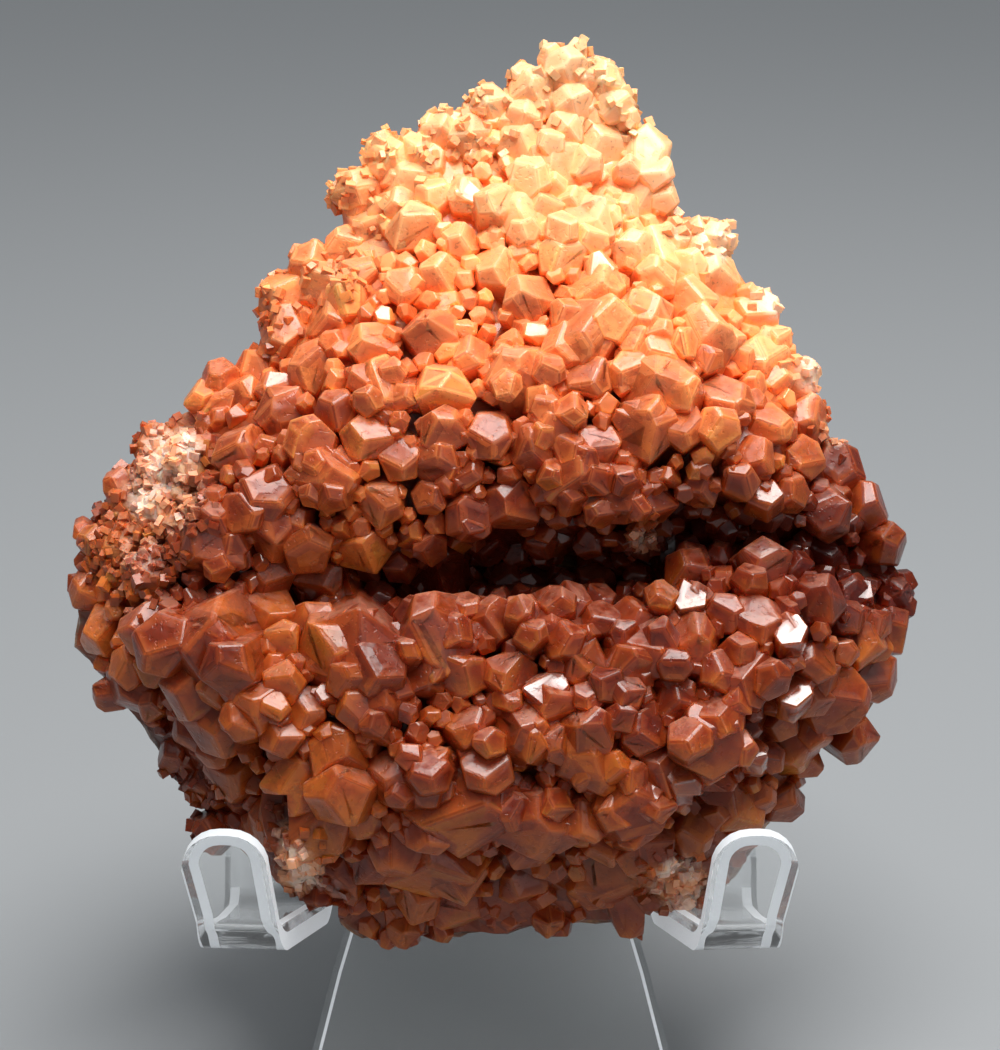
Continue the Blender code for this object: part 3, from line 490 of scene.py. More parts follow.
def bend_lines():
    """Places along the sheet where it is divided, so that its bends come out round."""
    lines = [LEDGE_START, LEDGE_END, LIP_START, PANEL_TOP_V, FOLD_END]
    for start, end, turn in (
        (BEND_START, LEDGE_START, math.pi / 2), (LEDGE_END, LIP_START, LIP_TURN),
        (PANEL_TOP_V, FOLD_END, FOLD_TURN),
    ):
        steps = round(turn / BEND_STEP)
        lines += [start + (end - start) * k / steps for k in range(steps)]
    return lines




# ------------------------------------------------------------------ finishes
UP_PANEL = Vector((0, math.sin(LEAN), math.cos(LEAN)))


class Value:
    """A socket of a finish, so that sums on it are written as Python."""

    def __init__(self, finish, socket):
        self.finish = finish
        self.socket = socket

    def maths(self, operation, first, second):
        return self.finish.node("ShaderNodeMath", {"operation": operation}, {0: first, 1: second})

    def __add__(self, other):
        return self.maths("ADD", self, other)

    def __radd__(self, other):
        return self.maths("ADD", other, self)

    def __sub__(self, other):
        return self.maths("SUBTRACT", self, other)

    def __rsub__(self, other):
        return self.maths("SUBTRACT", other, self)

    def __mul__(self, other):
        return self.maths("MULTIPLY", self, other)

    def __rmul__(self, other):
        return self.maths("MULTIPLY", other, self)

    def clamped(self, low, high):
        """0 below low, 1 above high and smooth between them."""
        settings = {"interpolation_type": "SMOOTHSTEP", "clamp": True}
        return self.finish.node("ShaderNodeMapRange", settings, {"Value": self, 1: low, 2: high, 3: 0.0, 4: 1.0})


class Finish:
    """A material under construction."""

    def __init__(self, name):
        self.material = bpy.data.materials.new(name)
        self.material.use_nodes = True
        self.tree = self.material.node_tree
        self.tree.nodes.clear()

    def node(self, kind, settings, sockets, output=0):
        node = self.tree.nodes.new(kind)
        for name, value in settings.items():
            if name == "stops":
                while len(node.color_ramp.elements) < len(value):
                    node.color_ramp.elements.new(1)
                for element, (place, colour) in zip(node.color_ramp.elements, value):
                    element.position = place
                    element.color = (*colour, 1)
            else:
                setattr(node, name, value)
        for name, value in sockets.items():
            if isinstance(value, Value):
                self.tree.links.new(value.socket, node.inputs[name])
            else:
                node.inputs[name].default_value = value
        return Value(self, node.outputs[output])

    def place(self):
        return self.node("ShaderNodeTexCoord", {}, {}, "Object")

    def attribute(self, name):
        return self.node("ShaderNodeAttribute", {"attribute_name": name}, {}, "Fac")

    def noise(self, per_mm, detail=3.0, roughness=0.5):
        sockets = {"Vector": self.place(), "Scale": per_mm / MM, "Detail": detail, "Roughness": roughness}
        return self.node("ShaderNodeTexNoise", {}, sockets)

    def ramp(self, value, stops):
        return self.node("ShaderNodeValToRGB", {"stops": stops}, {0: value})

    def mix(self, first, second, share, blend="MIX"):
        first = first if isinstance(first, Value) else (*first, 1)
        second = second if isinstance(second, Value) else (*second, 1)
        settings = {"data_type": "RGBA", "blend_type": blend}
        return self.node("ShaderNodeMix", settings, {0: share, 6: first, 7: second}, 2)

    def bump(self, height, distance, under=None):
        sockets = {"Height": height, "Distance": distance * MM, "Strength": 1.0}
        if under:
            sockets["Normal"] = under
        return self.node("ShaderNodeBump", {}, sockets)

    def surface(self, sockets):
        shader = self.node("ShaderNodeBsdfPrincipled", {"subsurface_method": "BURLEY"}, sockets)
        output = self.tree.nodes.new("ShaderNodeOutputMaterial")
        self.tree.links.new(shader.socket, output.inputs["Surface"])
        return self.material


# Calcite colours up the specimen, from its foot to its crest: the crystals' cores and their clearer rims. The change
# from dark red-brown at the foot to pale cream at the crest is partly the calcite's real colour and partly painted
# light: lighter up top as if lit from above, darker below as if in shade.
CORES = [
    (0.0, (0.21, 0.026, 0.005)), (0.2, (0.17, 0.018, 0.0035)), (0.42, (0.14, 0.015, 0.003)),
    (0.52, (0.18, 0.022, 0.005)), (0.60, (0.32, 0.052, 0.012)), (0.68, (0.65, 0.155, 0.040)),
    (0.80, (0.93, 0.34, 0.12)), (0.92, (0.90, 0.43, 0.19)), (1.0, (0.84, 0.45, 0.22)),
]
RIMS = [
    (0.0, (0.30, 0.062, 0.012)), (0.2, (0.26, 0.046, 0.010)), (0.42, (0.22, 0.036, 0.008)),
    (0.52, (0.31, 0.060, 0.015)), (0.60, (0.48, 0.12, 0.034)), (0.68, (0.80, 0.26, 0.085)),
    (0.80, (0.97, 0.48, 0.20)), (0.92, (0.92, 0.53, 0.26)), (1.0, (0.86, 0.54, 0.29)),
]
# What shows through a crystal's lower side, where the light comes out again
LIT_THROUGH = [
    (0.0, (0.42, 0.105, 0.012)), (0.45, (0.40, 0.09, 0.011)), (0.60, (0.72, 0.20, 0.035)),
    (0.75, (0.95, 0.38, 0.11)), (1.0, (0.95, 0.50, 0.27)),
]
# Painted shade: what the colour is multiplied by deep between the crystals and in the dark hollow
PAINTED_SHADE_TINTS = [(0.0, (0.34, 0.18, 0.13)), (0.5, (0.38, 0.21, 0.15)), (0.66, (0.84, 0.56, 0.36)), (1.0, (0.98, 0.74, 0.5))]


def calcite_finish(name, crust):
    finish = Finish(name)
    up = finish.node("ShaderNodeVectorMath", {"operation": "DOT_PRODUCT"},
                     {0: finish.place(), 1: UP_PANEL}, "Value") * (1 / MM) + FOOT_V
    broad = finish.noise(0.06, 1.0)
    across = finish.node("ShaderNodeVectorMath", {"operation": "DOT_PRODUCT"},
                         {0: finish.place(), 1: (1, 0, 0)}, "Value") * (1 / MM)
    # Colour height: along it the ramps turn paler towards the crest and darker towards the foot, partly the
    # calcite's real colour and partly painted light from above.
    level = (up + (broad - 0.5) * 22 + 58) * (1 / 116)
    height = level + (level - 0.6) * across * 0.012
    tone = finish.attribute("tone")
    faces_up = finish.attribute("faces_up")
    heart = finish.attribute("heart")
    pale = finish.attribute("pale")
    fine = finish.noise(0.9, 2.0, 0.6)
    cloud = finish.noise(0.25, 2.0, 0.6)
    core = (heart + (cloud - 0.5) * 1.4).clamped(-0.1, 1.1)
    zone = finish.ramp(height, CORES)
    colour = finish.mix(finish.ramp(height, RIMS), zone, core)
    lit_through = (finish.attribute("low") + (cloud - 0.5) * 1.2).clamped(0.4, 1.1)
    amber = finish.ramp(height, LIT_THROUGH)
    colour = finish.mix(colour, amber, lit_through * 0.6)
    colour = finish.mix(colour, amber, broad.clamped(0.50, 0.64) * (1 - height.clamped(0.5, 0.7)) * 0.5)
    # Each crystal's own random tone, with painted light per facet: facets lighter or darker by their turn, as if
    # catching the light differently.
    tone_and_facet_light = finish.ramp(tone * 0.65 + finish.attribute("facet") * 0.35, [
        (0.0, (0.50, 0.36, 0.38)), (0.25, (0.78, 0.66, 0.64)), (0.5, (1, 1, 1)),
        (0.75, (1.16, 1.22, 1.2)), (0.88, (1.05, 1.42, 1.0)), (1.0, (1.3, 1.5, 1.7)),
    ])
    strength = 1 - height.clamped(0.62, 0.9) * 0.65
    colour = finish.mix(colour, finish.mix(colour, tone_and_facet_light, 1.0, "MULTIPLY"), strength)
    mottled = finish.mix(colour, (0.66, 0.52, 0.50), 1.0, "MULTIPLY")
    grit = finish.noise(1.6, 1.0)
    colour = finish.mix(colour, mottled, (fine * 0.6 + cloud * 0.4).clamped(0.50, 0.66) * 0.55 * strength)
    veils = fine.clamped(0.47, 0.50) * (1 - fine.clamped(0.50, 0.53)) * cloud.clamped(0.45, 0.6)
    colour = finish.mix(colour, finish.mix(colour, (1.5, 1.7, 1.9), 1.0, "MULTIPLY"), veils * 0.38 * strength)
    # Upward faces: real frost and dust together with a painted sheen, paler and pinker where they face up to the
    # light.
    dust_and_sheen = finish.mix(zone, (0.80, 0.40, 0.27), 0.40)
    frost_and_sheen = faces_up.clamped(0.35, 0.95) * (fine * 0.5 + cloud * 0.5).clamped(0.38, 0.62)
    colour = finish.mix(colour, dust_and_sheen, frost_and_sheen * 0.65)
    chalk = finish.mix((0.86, 0.63, 0.50), (0.80, 0.38, 0.20), (cloud + (fine - 0.5) * 0.4).clamped(0.4, 0.6))
    chalk = finish.mix(chalk, (0.96, 0.74, 0.48), height.clamped(0.65, 0.9) * 0.7)
    colour = finish.mix(colour, chalk, (pale + (fine - 0.5) * 0.7).clamped(0.35, 0.85) * 0.85)
    # Painted shade: the colour is darkened in the crevices between the crystals and in the dark hollow.
    deep = finish.attribute("deep")
    colour = finish.mix(colour, finish.mix(colour, finish.ramp(height, PAINTED_SHADE_TINTS), 1.0, "MULTIPLY"), deep)
    specks = grit.clamped(0.66, 0.74) * 0.35
    colour = finish.mix(colour, (0.10, 0.035, 0.02), specks * (1 - frost_and_sheen))
    ground = finish.ramp(cloud * 0.45 + fine * 0.2 + broad * 0.35, [
        (0.34, (0.06, 0.028, 0.018)), (0.44, (0.16, 0.065, 0.035)), (0.50, (0.26, 0.12, 0.06)),
        (0.56, (0.40, 0.22, 0.12)), (0.64, (0.52, 0.38, 0.27)),
    ])
    behind = finish.attribute("behind") * (0.0 if crust else 1.0)
    colour = finish.mix(colour, ground, behind)
    glint = finish.attribute("glint")
    roughness = 0.22 + fine * 0.2 + frost_and_sheen * 0.12 + pale * 0.3 + behind * 0.3 - glint * 0.2
    waves = finish.bump(finish.noise(0.5, 1.0) * (behind * 9 + 1), 0.22)
    normal = finish.bump(grit.clamped(0.28, 0.40), 0.05, waves)
    return finish.surface({
        "Base Color": colour, "Roughness": roughness, "Normal": normal, "IOR": 1.5, "Specular IOR Level": 0.28,
        "Subsurface Weight": 0.75, "Subsurface Radius": (1.0, 0.32, 0.11), "Subsurface Scale": (0.5 if crust else 2.4) * MM,
        "Coat Weight": 0.2 + glint * 0.8, "Coat Roughness": 0.12, "Coat IOR": 1.66,
    })


def acrylic_finish():
    finish = Finish("clear_acrylic")
    return finish.surface({
        "Base Color": (0.97, 0.985, 0.99, 1), "Roughness": 0.03, "IOR": 1.49, "Transmission Weight": 0.93,
    })


def cut_edge_finish():
    finish = Finish("frosted_cut_edge_painted_glow")
    return finish.surface({
        "Base Color": (0.42, 0.44, 0.46, 1), "Roughness": 0.5, "IOR": 1.49,
        # Painted light: the emission makes the cut edges glow as if light were piped along the acrylic.
        "Emission Color": (0.86, 0.90, 0.94, 1), "Emission Strength": 0.34,
        "Normal": finish.bump(finish.noise(2.5, 3.0), 0.05),
    })


def plain_finish(name, colour, roughness):
    finish = Finish(name)
    return finish.surface({"Base Color": (*colour, 1), "Roughness": roughness})


# ------------------------------------------------------------------ specimen
EDGE_ROUNDING = 0.04
RIM_BAND = 0.20
RIM_SHARE = 0.55
ROUND_WIDTH = 6.0
ZONED_WIDTH = 3.2
CROWN = 0.06
LARGE_WIDTH = 8.0
CHIPPED_WIDTH = 6.2
GROWTH_LIFT = (0.05, 0.24)
GRID_STEP = 1.5
SMALL_SPACING = 2.5
SMALL_WIDTH = (1.5, 3.0)

# Crystals with a flat face turned to the light, as sighted: across, up, width, gloss
GLINTS = [
    (6, -21, 5.5, 0.9), (36, -13.5, 4.2, 1), (36.6, -21, 5, 0.8), (31.5, -28.6, 3.6, 0.7), (23, -31.4, 4.5, 1),
    (17, -33.5, 6, 0.8), (44.5, -8.5, 4, 0.4), (23.6, -9.2, 4.5, 0.6), (-28, 17, 4.5, 0.4), (-4.2, 41.3, 3.4, 0.5),
    (12.5, 32, 4, 0.5), (4.5, 24, 3, 0.4), (-27.5, -23.5, 3.5, 0.3), (33, 3.5, 4, 0.4), (-21.5, -21, 3, 0.2),
    (-14.5, 26, 2.4, 0.5), (27, 1, 3, 0.4),
]

# Small crystals that stand in the dark hollow, as sighted: across, up, width, how far they stand out
HOLLOW_CRYSTALS = [
    (5, -2.5, 4.4, 3), (0.6, -6.2, 3.6, 1.5), (7.2, -9.6, 4.4, 4), (12.5, -8.8, 4, 3), (17, -6, 3.4, 1.5),
    (23.7, -3.7, 4.2, 2.5), (27.5, -0.8, 3.8, 2.5), (31, -6.2, 4, 2.5), (-8.7, -3, 4.2, 3), (-12.5, -5.5, 4, 2.5),
    (-3.7, -0.8, 4, 2.5), (-15, -8.4, 3.6, 2.5), (-20, -9, 4.2, 2), (-4.6, -9.8, 4.4, 4.5), (2.4, -10.6, 4, 4),
    (-10.6, -10.8, 4.6, 4), (19.8, -8.6, 4, 3.5), (37, -4.6, 4, 2), (11, -2.6, 3.4, 2), (14.6, -5.2, 3, 1),
]

# Weathered places, as sighted: across, up, radius, how pale, how grainy
PATCHES = [
    (-42, 4, 5, 0.9, 0.6), (-45.5, -3, 5, 0.5, 0.6), (-41, 9, 4, 0.9, 0.5), (27.5, 35.6, 3, 0.9, 0.2),
    (33.8, 28, 2.4, 0.9, 0.2), (39, 19, 2.6, 1, 0.2), (42, 12, 2.4, 0.9, 0.2), (-25, -43, 3, 1, 0.6),
    (22.5, -45, 3.6, 1, 0.8), (18, -2, 1.8, 1, 1), (-19.4, 32, 4, 0.2, 0.2), (9, 56, 6, 0.3, 0.12),
    (-3, 51, 6, 0.3, 0.12), (-14, 46, 6, 0.3, 0.15), (-19, 42, 4, 0.3, 0.15), (16, 53, 4, 0.3, 0.12),
    (-10, 49, 4, 0.3, 0.15), (-39, -34, 4, 0.2, 0.3), (-30, 27, 4, 0.2, 0.2), (24.5, 39, 3, 0.4, 0.2),
]


def soften(mesh, width, centre_v, tone, glint=0.0):
    """Rounds a crystal's edges a little, and marks the middle of its faces and its tone."""
    bmesh.ops.recalc_face_normals(mesh, faces=mesh.faces)
    bmesh.ops.bevel(mesh, geom=mesh.edges[:], offset=EDGE_ROUNDING * width, segments=1 + (width > ROUND_WIDTH),
                    profile=0.5, affect="EDGES", clamp_overlap=True)
    bmesh.ops.remove_doubles(mesh, verts=mesh.verts, dist=CORNER_MERGE)
    bmesh.ops.dissolve_degenerate(mesh, edges=mesh.edges, dist=CORNER_MERGE / 5)
    faces = [face for face in mesh.faces if face.calc_area() > (0.12 * width) ** 2 and width > ZONED_WIDTH]
    for face in faces:
        room = 2 * face.calc_area() / face.calc_perimeter()
        band = min(RIM_BAND * width, RIM_SHARE * room)
        bmesh.ops.inset_individual(mesh, faces=[face], thickness=band, depth=CROWN * band)
    heart = mesh.verts.layers.float.new("heart")
    tones = mesh.verts.layers.float.new("tone")
    glints = mesh.verts.layers.float.new("glint")
    lows = mesh.verts.layers.float.new("low")
    for vert in mesh.verts:
        vert[tones] = tone
        vert[glints] = glint
        vert[lows] = (centre_v - vert.co.y) / width + 0.5
    for face in faces:
        for vert in face.verts:
            vert[heart] = 1.0
    if not faces:
        for vert in mesh.verts:
            vert[heart] = 0.5


def leaned_object(name, mesh, collection=None):
    """Turns a mesh in the leaned frame into an object in world metres."""
    for vert in mesh.verts:
        vert.co = leaned(*vert.co)
    bmesh.ops.recalc_face_normals(mesh, faces=mesh.faces)
    data = bpy.data.meshes.new(name)
    mesh.to_mesh(data)
    mesh.free()
    thing = bpy.data.objects.new(name, data)
    (collection or bpy.context.scene.collection).objects.link(thing)
    return thing


def remove(thing):
    data = thing.data
    bpy.data.objects.remove(thing, do_unlink=True)
    bpy.data.meshes.remove(data)


def small_places(rng, taken):
    """Small crystals in the gaps: across, up, width."""
    count = int(60 / SMALL_SPACING)
    for i in range(-count, count + 1):
        for j in range(-count, count + 1):
            u = (i + 0.5 * (j % 2)) * SMALL_SPACING + rng.uniform(-0.8, 0.8)
            v = j * SMALL_SPACING * 0.87 + rng.uniform(-0.8, 0.8)
            width = rng.uniform(*SMALL_WIDTH)
            if inside(u, v) and all(math.hypot(u - a, v - b) > 0.8 * c for a, b, c in taken):
                yield u, v, width


def in_panel_frame(place):
    """The leaned frame's millimetres of a world place."""
    across, depth, height = (length / MM for length in place)
    out = height * math.sin(LEAN) - depth * math.cos(LEAN)
    return Vector((across, depth * math.sin(LEAN) + height * math.cos(LEAN) + FOOT_V, out - SHEET / 2))


def glinting_crystal(collection, u, v, width, gloss):
    """A crystal whose flat top mirrors the key light to someone in front."""
    rng = random.Random(round(29 * u + 53 * v))
    place = drawn_in(u, v, growth_depth(u, v))
    to_light = (in_panel_frame(KEY_PLACE) - place).normalized()
    to_viewer = (Vector((SPECIMEN_U, 0, SIGHT)) - place).normalized()
    planes = crystal_planes(rng, 1.2)[:-3]
    planes.append((Vector((0, 0, 1)), 0.5))
    planes.append((direction(math.radians(rng.uniform(35, 50)), rng.uniform(0, math.tau)), 0.78))
    planes.append((direction(math.radians(rng.uniform(35, 50)), rng.uniform(0, math.tau)), 0.78))
    mesh = bmesh.new()
    add_polyhedron(mesh, planes, place, (to_light + to_viewer).normalized(), rng.uniform(0, math.tau), width / 2)
    soften(mesh, width, place.y, rng.random(), gloss)
    leaned_object("crystal", mesh, collection)


def chipped_planes(rng, root):
    """A crystal with lesser faces across its corners."""
    planes = crystal_planes(rng, root)
    corners = random.Random(round(1000 * planes[-1][1]))
    for _ in range(4):
        tilt = math.radians(corners.uniform(18, 72))
        planes.append((direction(tilt, corners.uniform(0, math.tau)), corners.uniform(0.80, 0.93)))
    return planes


def parallel_growths(collection, u, v, width, lean_u, lean_v, lift):
    """Lesser crystals grown into the sides of a large one, lifted by a share of its width."""
    rng = random.Random(round(41 * u + 17 * v))
    start = rng.uniform(0, math.tau)
    for k in range(4):
        turn = start + (k + rng.uniform(-0.2, 0.2)) * math.tau / 4
        away = rng.uniform(0.24, 0.42) * width
        add_crystal(rng, collection, u + away * math.cos(turn), v + away * math.sin(turn),
                    rng.uniform(0.40, 0.62) * width, lean_u + rng.uniform(-0.15, 0.15),
                    lean_v + rng.uniform(-0.15, 0.15), crystal_planes, rng.uniform(*lift) * width)


def crystal_objects(rng, collection):
    """Every crystal of the specimen as an object of its own."""
    rows = [(row, chipped_planes if row[2] > CHIPPED_WIDTH else crystal_planes) for row in CRYSTALS]
    rows += [((u, v, width, 0, 0), lump_planes) for u, v, width in LUMPS]
    for row, planes_of in rows:
        add_crystal(rng, collection, *row, planes_of)
        if row[2] >= LARGE_WIDTH:
            parallel_growths(collection, *row, GROWTH_LIFT)
        elif planes_of is lump_planes:
            parallel_growths(collection, *row, (0, 0))
    for row in GLINTS:
        glinting_crystal(collection, *row)
    for u, v, width, lift in HOLLOW_CRYSTALS:
        slant = 0.6 if v > along(HOLLOW, u)[0] else -0.6
        add_crystal(random.Random(round(23 * u + 61 * v)), collection, u, v, width, 0, -slant * 0.5,
                    crystal_planes, lift)
    fillers = filler_places(rng)
    for u, v, width in fillers:
        lean_u, lean_v = rng.uniform(-0.4, 0.4), rng.uniform(-0.4, 0.4)
        add_crystal(rng, collection, u, v, width, lean_u, lean_v, crystal_planes)
    taken = [(row[0], row[1], row[2] / 2) for row in CRYSTALS + LUMPS + fillers]
    for u, v, width in small_places(rng, taken):
        lean_u, lean_v = rng.uniform(-0.6, 0.6), rng.uniform(-0.6, 0.6)
        add_crystal(rng, collection, u, v, width, lean_u, lean_v, crystal_planes)


def add_crystal(rng, collection, u, v, width, lean_u, lean_v, planes_of, lift=0.0):
    mesh = bmesh.new()
    place_crystal(mesh, rng, u, v, width, lean_u, lean_v, planes_of)
    for vert in mesh.verts:
        vert.co.z += lift
    centre = drawn_in(u, v, growth_depth(u, v) + width / 4)
    soften(mesh, width, centre.y, random.Random(round(31 * u + 57 * v)).random())
    leaned_object("crystal", mesh, collection)


def rough_body(rng):
    """The matrix, with a finer broken surface."""
    mesh = body_mesh(rng)
    bmesh.ops.recalc_face_normals(mesh, faces=mesh.faces)
    bmesh.ops.subdivide_edges(mesh, edges=mesh.edges[:], cuts=4, use_grid_fill=True)
    bmesh.ops.triangulate(mesh, faces=mesh.faces)
    mesh.normal_update()
    moves = []
    for vert in mesh.verts:
        lump = noise.fractal(vert.co * 0.22, 1.0, 2.0, 4)
        step = noise.noise(vert.co * 0.09) * 1.2
        moves.append(vert.normal * (lump * 0.9 + step))
    for vert, move in zip(mesh.verts, moves):
        vert.co += move
        vert.co.z = max(vert.co.z, REST_GAP)
    matrix = mesh.verts.layers.float.new("matrix")
    for vert in mesh.verts:
        vert[matrix] = 1.0
    return leaned_object("matrix", mesh)


def node_tree(name, inputs):
    """A Geometry Nodes tree with a mesh in and a mesh out, and the named inputs."""
    tree = bpy.data.node_groups.new(name, "GeometryNodeTree")
    tree.interface.new_socket("Mesh", in_out="INPUT", socket_type="NodeSocketGeometry")
    tree.interface.new_socket("Mesh", in_out="OUTPUT", socket_type="NodeSocketGeometry")
    keys = {}
    for label, kind in inputs.items():
        keys[label] = tree.interface.new_socket(label, in_out="INPUT", socket_type=kind).identifier
    return tree, tree.nodes.new("NodeGroupInput"), tree.nodes.new("NodeGroupOutput"), keys


def add_node(tree, kind, settings, sockets):
    node = tree.nodes.new(kind)
    for name, value in settings.items():
        setattr(node, name, value)
    for name, value in sockets.items():
        if isinstance(value, bpy.types.NodeSocket):
            tree.links.new(value, node.inputs[name])
        else:
            node.inputs[name].default_value = value
    return node


def made_by(tree, keys, values, base, name):
    """Runs a tree on an object and keeps its result as a plain mesh object."""
    maker = base.modifiers.new(tree.name, "NODES")
    maker.node_group = tree
    for label, value in values.items():
        maker[keys[label]] = value
    graph = bpy.context.evaluated_depsgraph_get()
    data = bpy.data.meshes.new_from_object(base.evaluated_get(graph))
    base.modifiers.remove(maker)
    data.name = name
    thing = bpy.data.objects.new(name, data)
    bpy.context.scene.collection.objects.link(thing)
    return thing


def grown_together(body, collection, finish):
    """The crystals and the matrix as one skin."""
    tree, start, end, keys = node_tree("grow_together", {"Crystals": "NodeSocketCollection",
                                                         "Finish": "NodeSocketMaterial"})
    crystals = add_node(tree, "GeometryNodeCollectionInfo", {},
                        {"Collection": start.outputs["Crystals"], "Separate Children": True})
    union = add_node(tree, "GeometryNodeMeshBoolean", {"operation": "UNION", "solver": "MANIFOLD"}, {})
    tree.links.new(start.outputs["Mesh"], union.inputs["Mesh 2"])
    tree.links.new(crystals.outputs[0], union.inputs["Mesh 2"])
    plain = add_node(tree, "GeometryNodeRealizeInstances", {}, {0: union.outputs["Mesh"]})
    dressed = add_node(tree, "GeometryNodeSetMaterial", {},
                       {0: plain.outputs[0], "Material": start.outputs["Finish"]})
    tree.links.new(dressed.outputs[0], end.inputs[0])
    return made_by(tree, keys, {"Crystals": collection, "Finish": finish}, body, "calcite_crystals")


def cut_clear(thing):
    """Keeps the specimen clear of the easel."""
    clear = leaned_object("clearance", clearance_mesh())
    cut = thing.modifiers.new("clear_of_easel", "BOOLEAN")
    cut.operation = "DIFFERENCE"
    cut.solver = "MANIFOLD"
    cut.object = clear
    graph = bpy.context.evaluated_depsgraph_get()
    data = bpy.data.meshes.new_from_object(thing.evaluated_get(graph))
    thing.modifiers.remove(cut)
    thing.data = data
    remove(clear)


def depth_map():
    """The growth surface's depth, on a grid of sighted places."""
    steps = np.arange(-63, 64, GRID_STEP)
    return steps, np.array([[growth_depth(u, v) for u in steps] for v in steps])


def mark_surface(thing):
    """Stores what the finish reads: the faces' turn and a per-facet value for painted light, painted shade in the
    crevices and the dark hollow, and which places are pale or grainy.
    """
    data = thing.data
    places = np.empty(3 * len(data.vertices))
    data.vertices.foreach_get("co", places)
    places = places.reshape(-1, 3) / MM
    out = places @ np.array(leaned(0, FOOT_V, 1 - SHEET / 2)) / MM - SHEET / 2
    share = (SIGHT - out) / (SIGHT - SIGHT_PLANE)
    u = (places[:, 0] - SPECIMEN_U) / share
    v = (places @ np.array(UP_PANEL) + FOOT_V) / share
    steps, depths = depth_map()
    column = np.clip((u - steps[0]) / GRID_STEP, 0, len(steps) - 1).astype(int)
    row = np.clip((v - steps[0]) / GRID_STEP, 0, len(steps) - 1).astype(int)
    # Painted shade: darker where the surface lies below the growth surface, between the crystals, and along the
    # middle of the dark hollow.
    crevice = np.clip((depths[row, column] + 1.2 - out) / 4, 0, 1)
    hollow_v, hollow = np.array([along(HOLLOW, place) for place in steps]).T
    middle = np.exp(-((v - hollow_v[column]) / 5.5) ** 2) * np.clip(hollow[column] / 9, 0, 1)
    shadow = middle * np.clip((26 - out) / 9, 0, 1)
    marks = {"deep": np.clip(crevice * 0.8 + shadow, 0, 1), "pale": 0 * u, "grain": 0 * u,
             "behind": np.clip((3.4 - out) / 1.4, 0, 1)}
    for a, b, radius, pale, grain in PATCHES:
        near = np.clip(1.5 - np.hypot(u - a, v - b) / radius, 0, 1)
        marks["pale"] = np.maximum(marks["pale"], near * pale)
        marks["grain"] = np.maximum(marks["grain"], near * grain)
    matrix = np.empty(len(data.vertices))
    data.attributes["matrix"].data.foreach_get("value", matrix)
    bare = matrix * np.clip((7 - out) / 2, 0, 1) * (1 - marks["pale"])
    marks["behind"] = np.maximum(marks["behind"], bare)
    marks["grain"] *= 1 - marks["behind"]
    for name, values in marks.items():
        data.attributes.new(name, "FLOAT", "POINT").data.foreach_set("value", values)
    normals = np.empty(3 * len(data.polygons))
    data.polygons.foreach_get("normal", normals)
    normals = normals.reshape(-1, 3)
    # Painted light: one value per facet turn, with which the finish makes facets lighter or darker as if they caught
    # the light differently.
    facet = np.modf(np.abs(np.sin(np.round(normals, 2) @ np.array((12.9, 78.2, 37.7)))) * 437.5)[0]
    for name, values in (("faces_up", normals @ np.array(UP_PANEL)), ("facet", facet)):
        data.attributes.new(name, "FLOAT", "FACE").data.foreach_set("value", values)


def sugary_crust(base, finish):
    """Fine blunt grains over the weathered places."""
    tree, start, end, keys = node_tree("sugary_crust", {
        "Grains per square metre": "NodeSocketFloat", "Grain size": "NodeSocketFloat",
        "Seed": "NodeSocketInt", "Finish": "NodeSocketMaterial",
    })
    where = add_node(tree, "GeometryNodeInputNamedAttribute", {"data_type": "FLOAT"}, {"Name": "grain"})
    density = add_node(tree, "ShaderNodeMath", {"operation": "MULTIPLY"}, {
        0: where.outputs["Attribute"], 1: start.outputs["Grains per square metre"]})
    points = add_node(tree, "GeometryNodeDistributePointsOnFaces", {"distribute_method": "RANDOM"}, {
        "Mesh": start.outputs["Mesh"], "Density": density.outputs[0], "Seed": start.outputs["Seed"]})
    turn = add_node(tree, "FunctionNodeRandomValue", {"data_type": "FLOAT_VECTOR"}, {
        0: (0, 0, 0), 1: (math.tau, math.tau, math.tau), "Seed": start.outputs["Seed"]})
    spread = add_node(tree, "FunctionNodeRandomValue", {"data_type": "FLOAT_VECTOR"}, {
        0: (0.5, 0.5, 0.5), 1: (1.2, 1.2, 1.5), "Seed": start.outputs["Seed"]})
    size = add_node(tree, "ShaderNodeVectorMath", {"operation": "SCALE"}, {
        0: spread.outputs[0], "Scale": start.outputs["Grain size"]})
    grain = add_node(tree, "GeometryNodeMeshCube", {}, {"Size": (1, 1, 1)})
    placed = add_node(tree, "GeometryNodeInstanceOnPoints", {}, {
        "Points": points.outputs["Points"], "Instance": grain.outputs["Mesh"],
        "Rotation": turn.outputs[0], "Scale": size.outputs[0]})
    plain = add_node(tree, "GeometryNodeRealizeInstances", {}, {0: placed.outputs[0]})
    dressed = add_node(tree, "GeometryNodeSetMaterial", {},
                       {0: plain.outputs[0], "Material": start.outputs["Finish"]})
    tree.links.new(dressed.outputs[0], end.inputs[0])
    return made_by(tree, keys, {"Grains per square metre": 1.5e6, "Grain size": 1.1 * MM, "Seed": SEED,
                                "Finish": finish}, base, "sugary_crust")


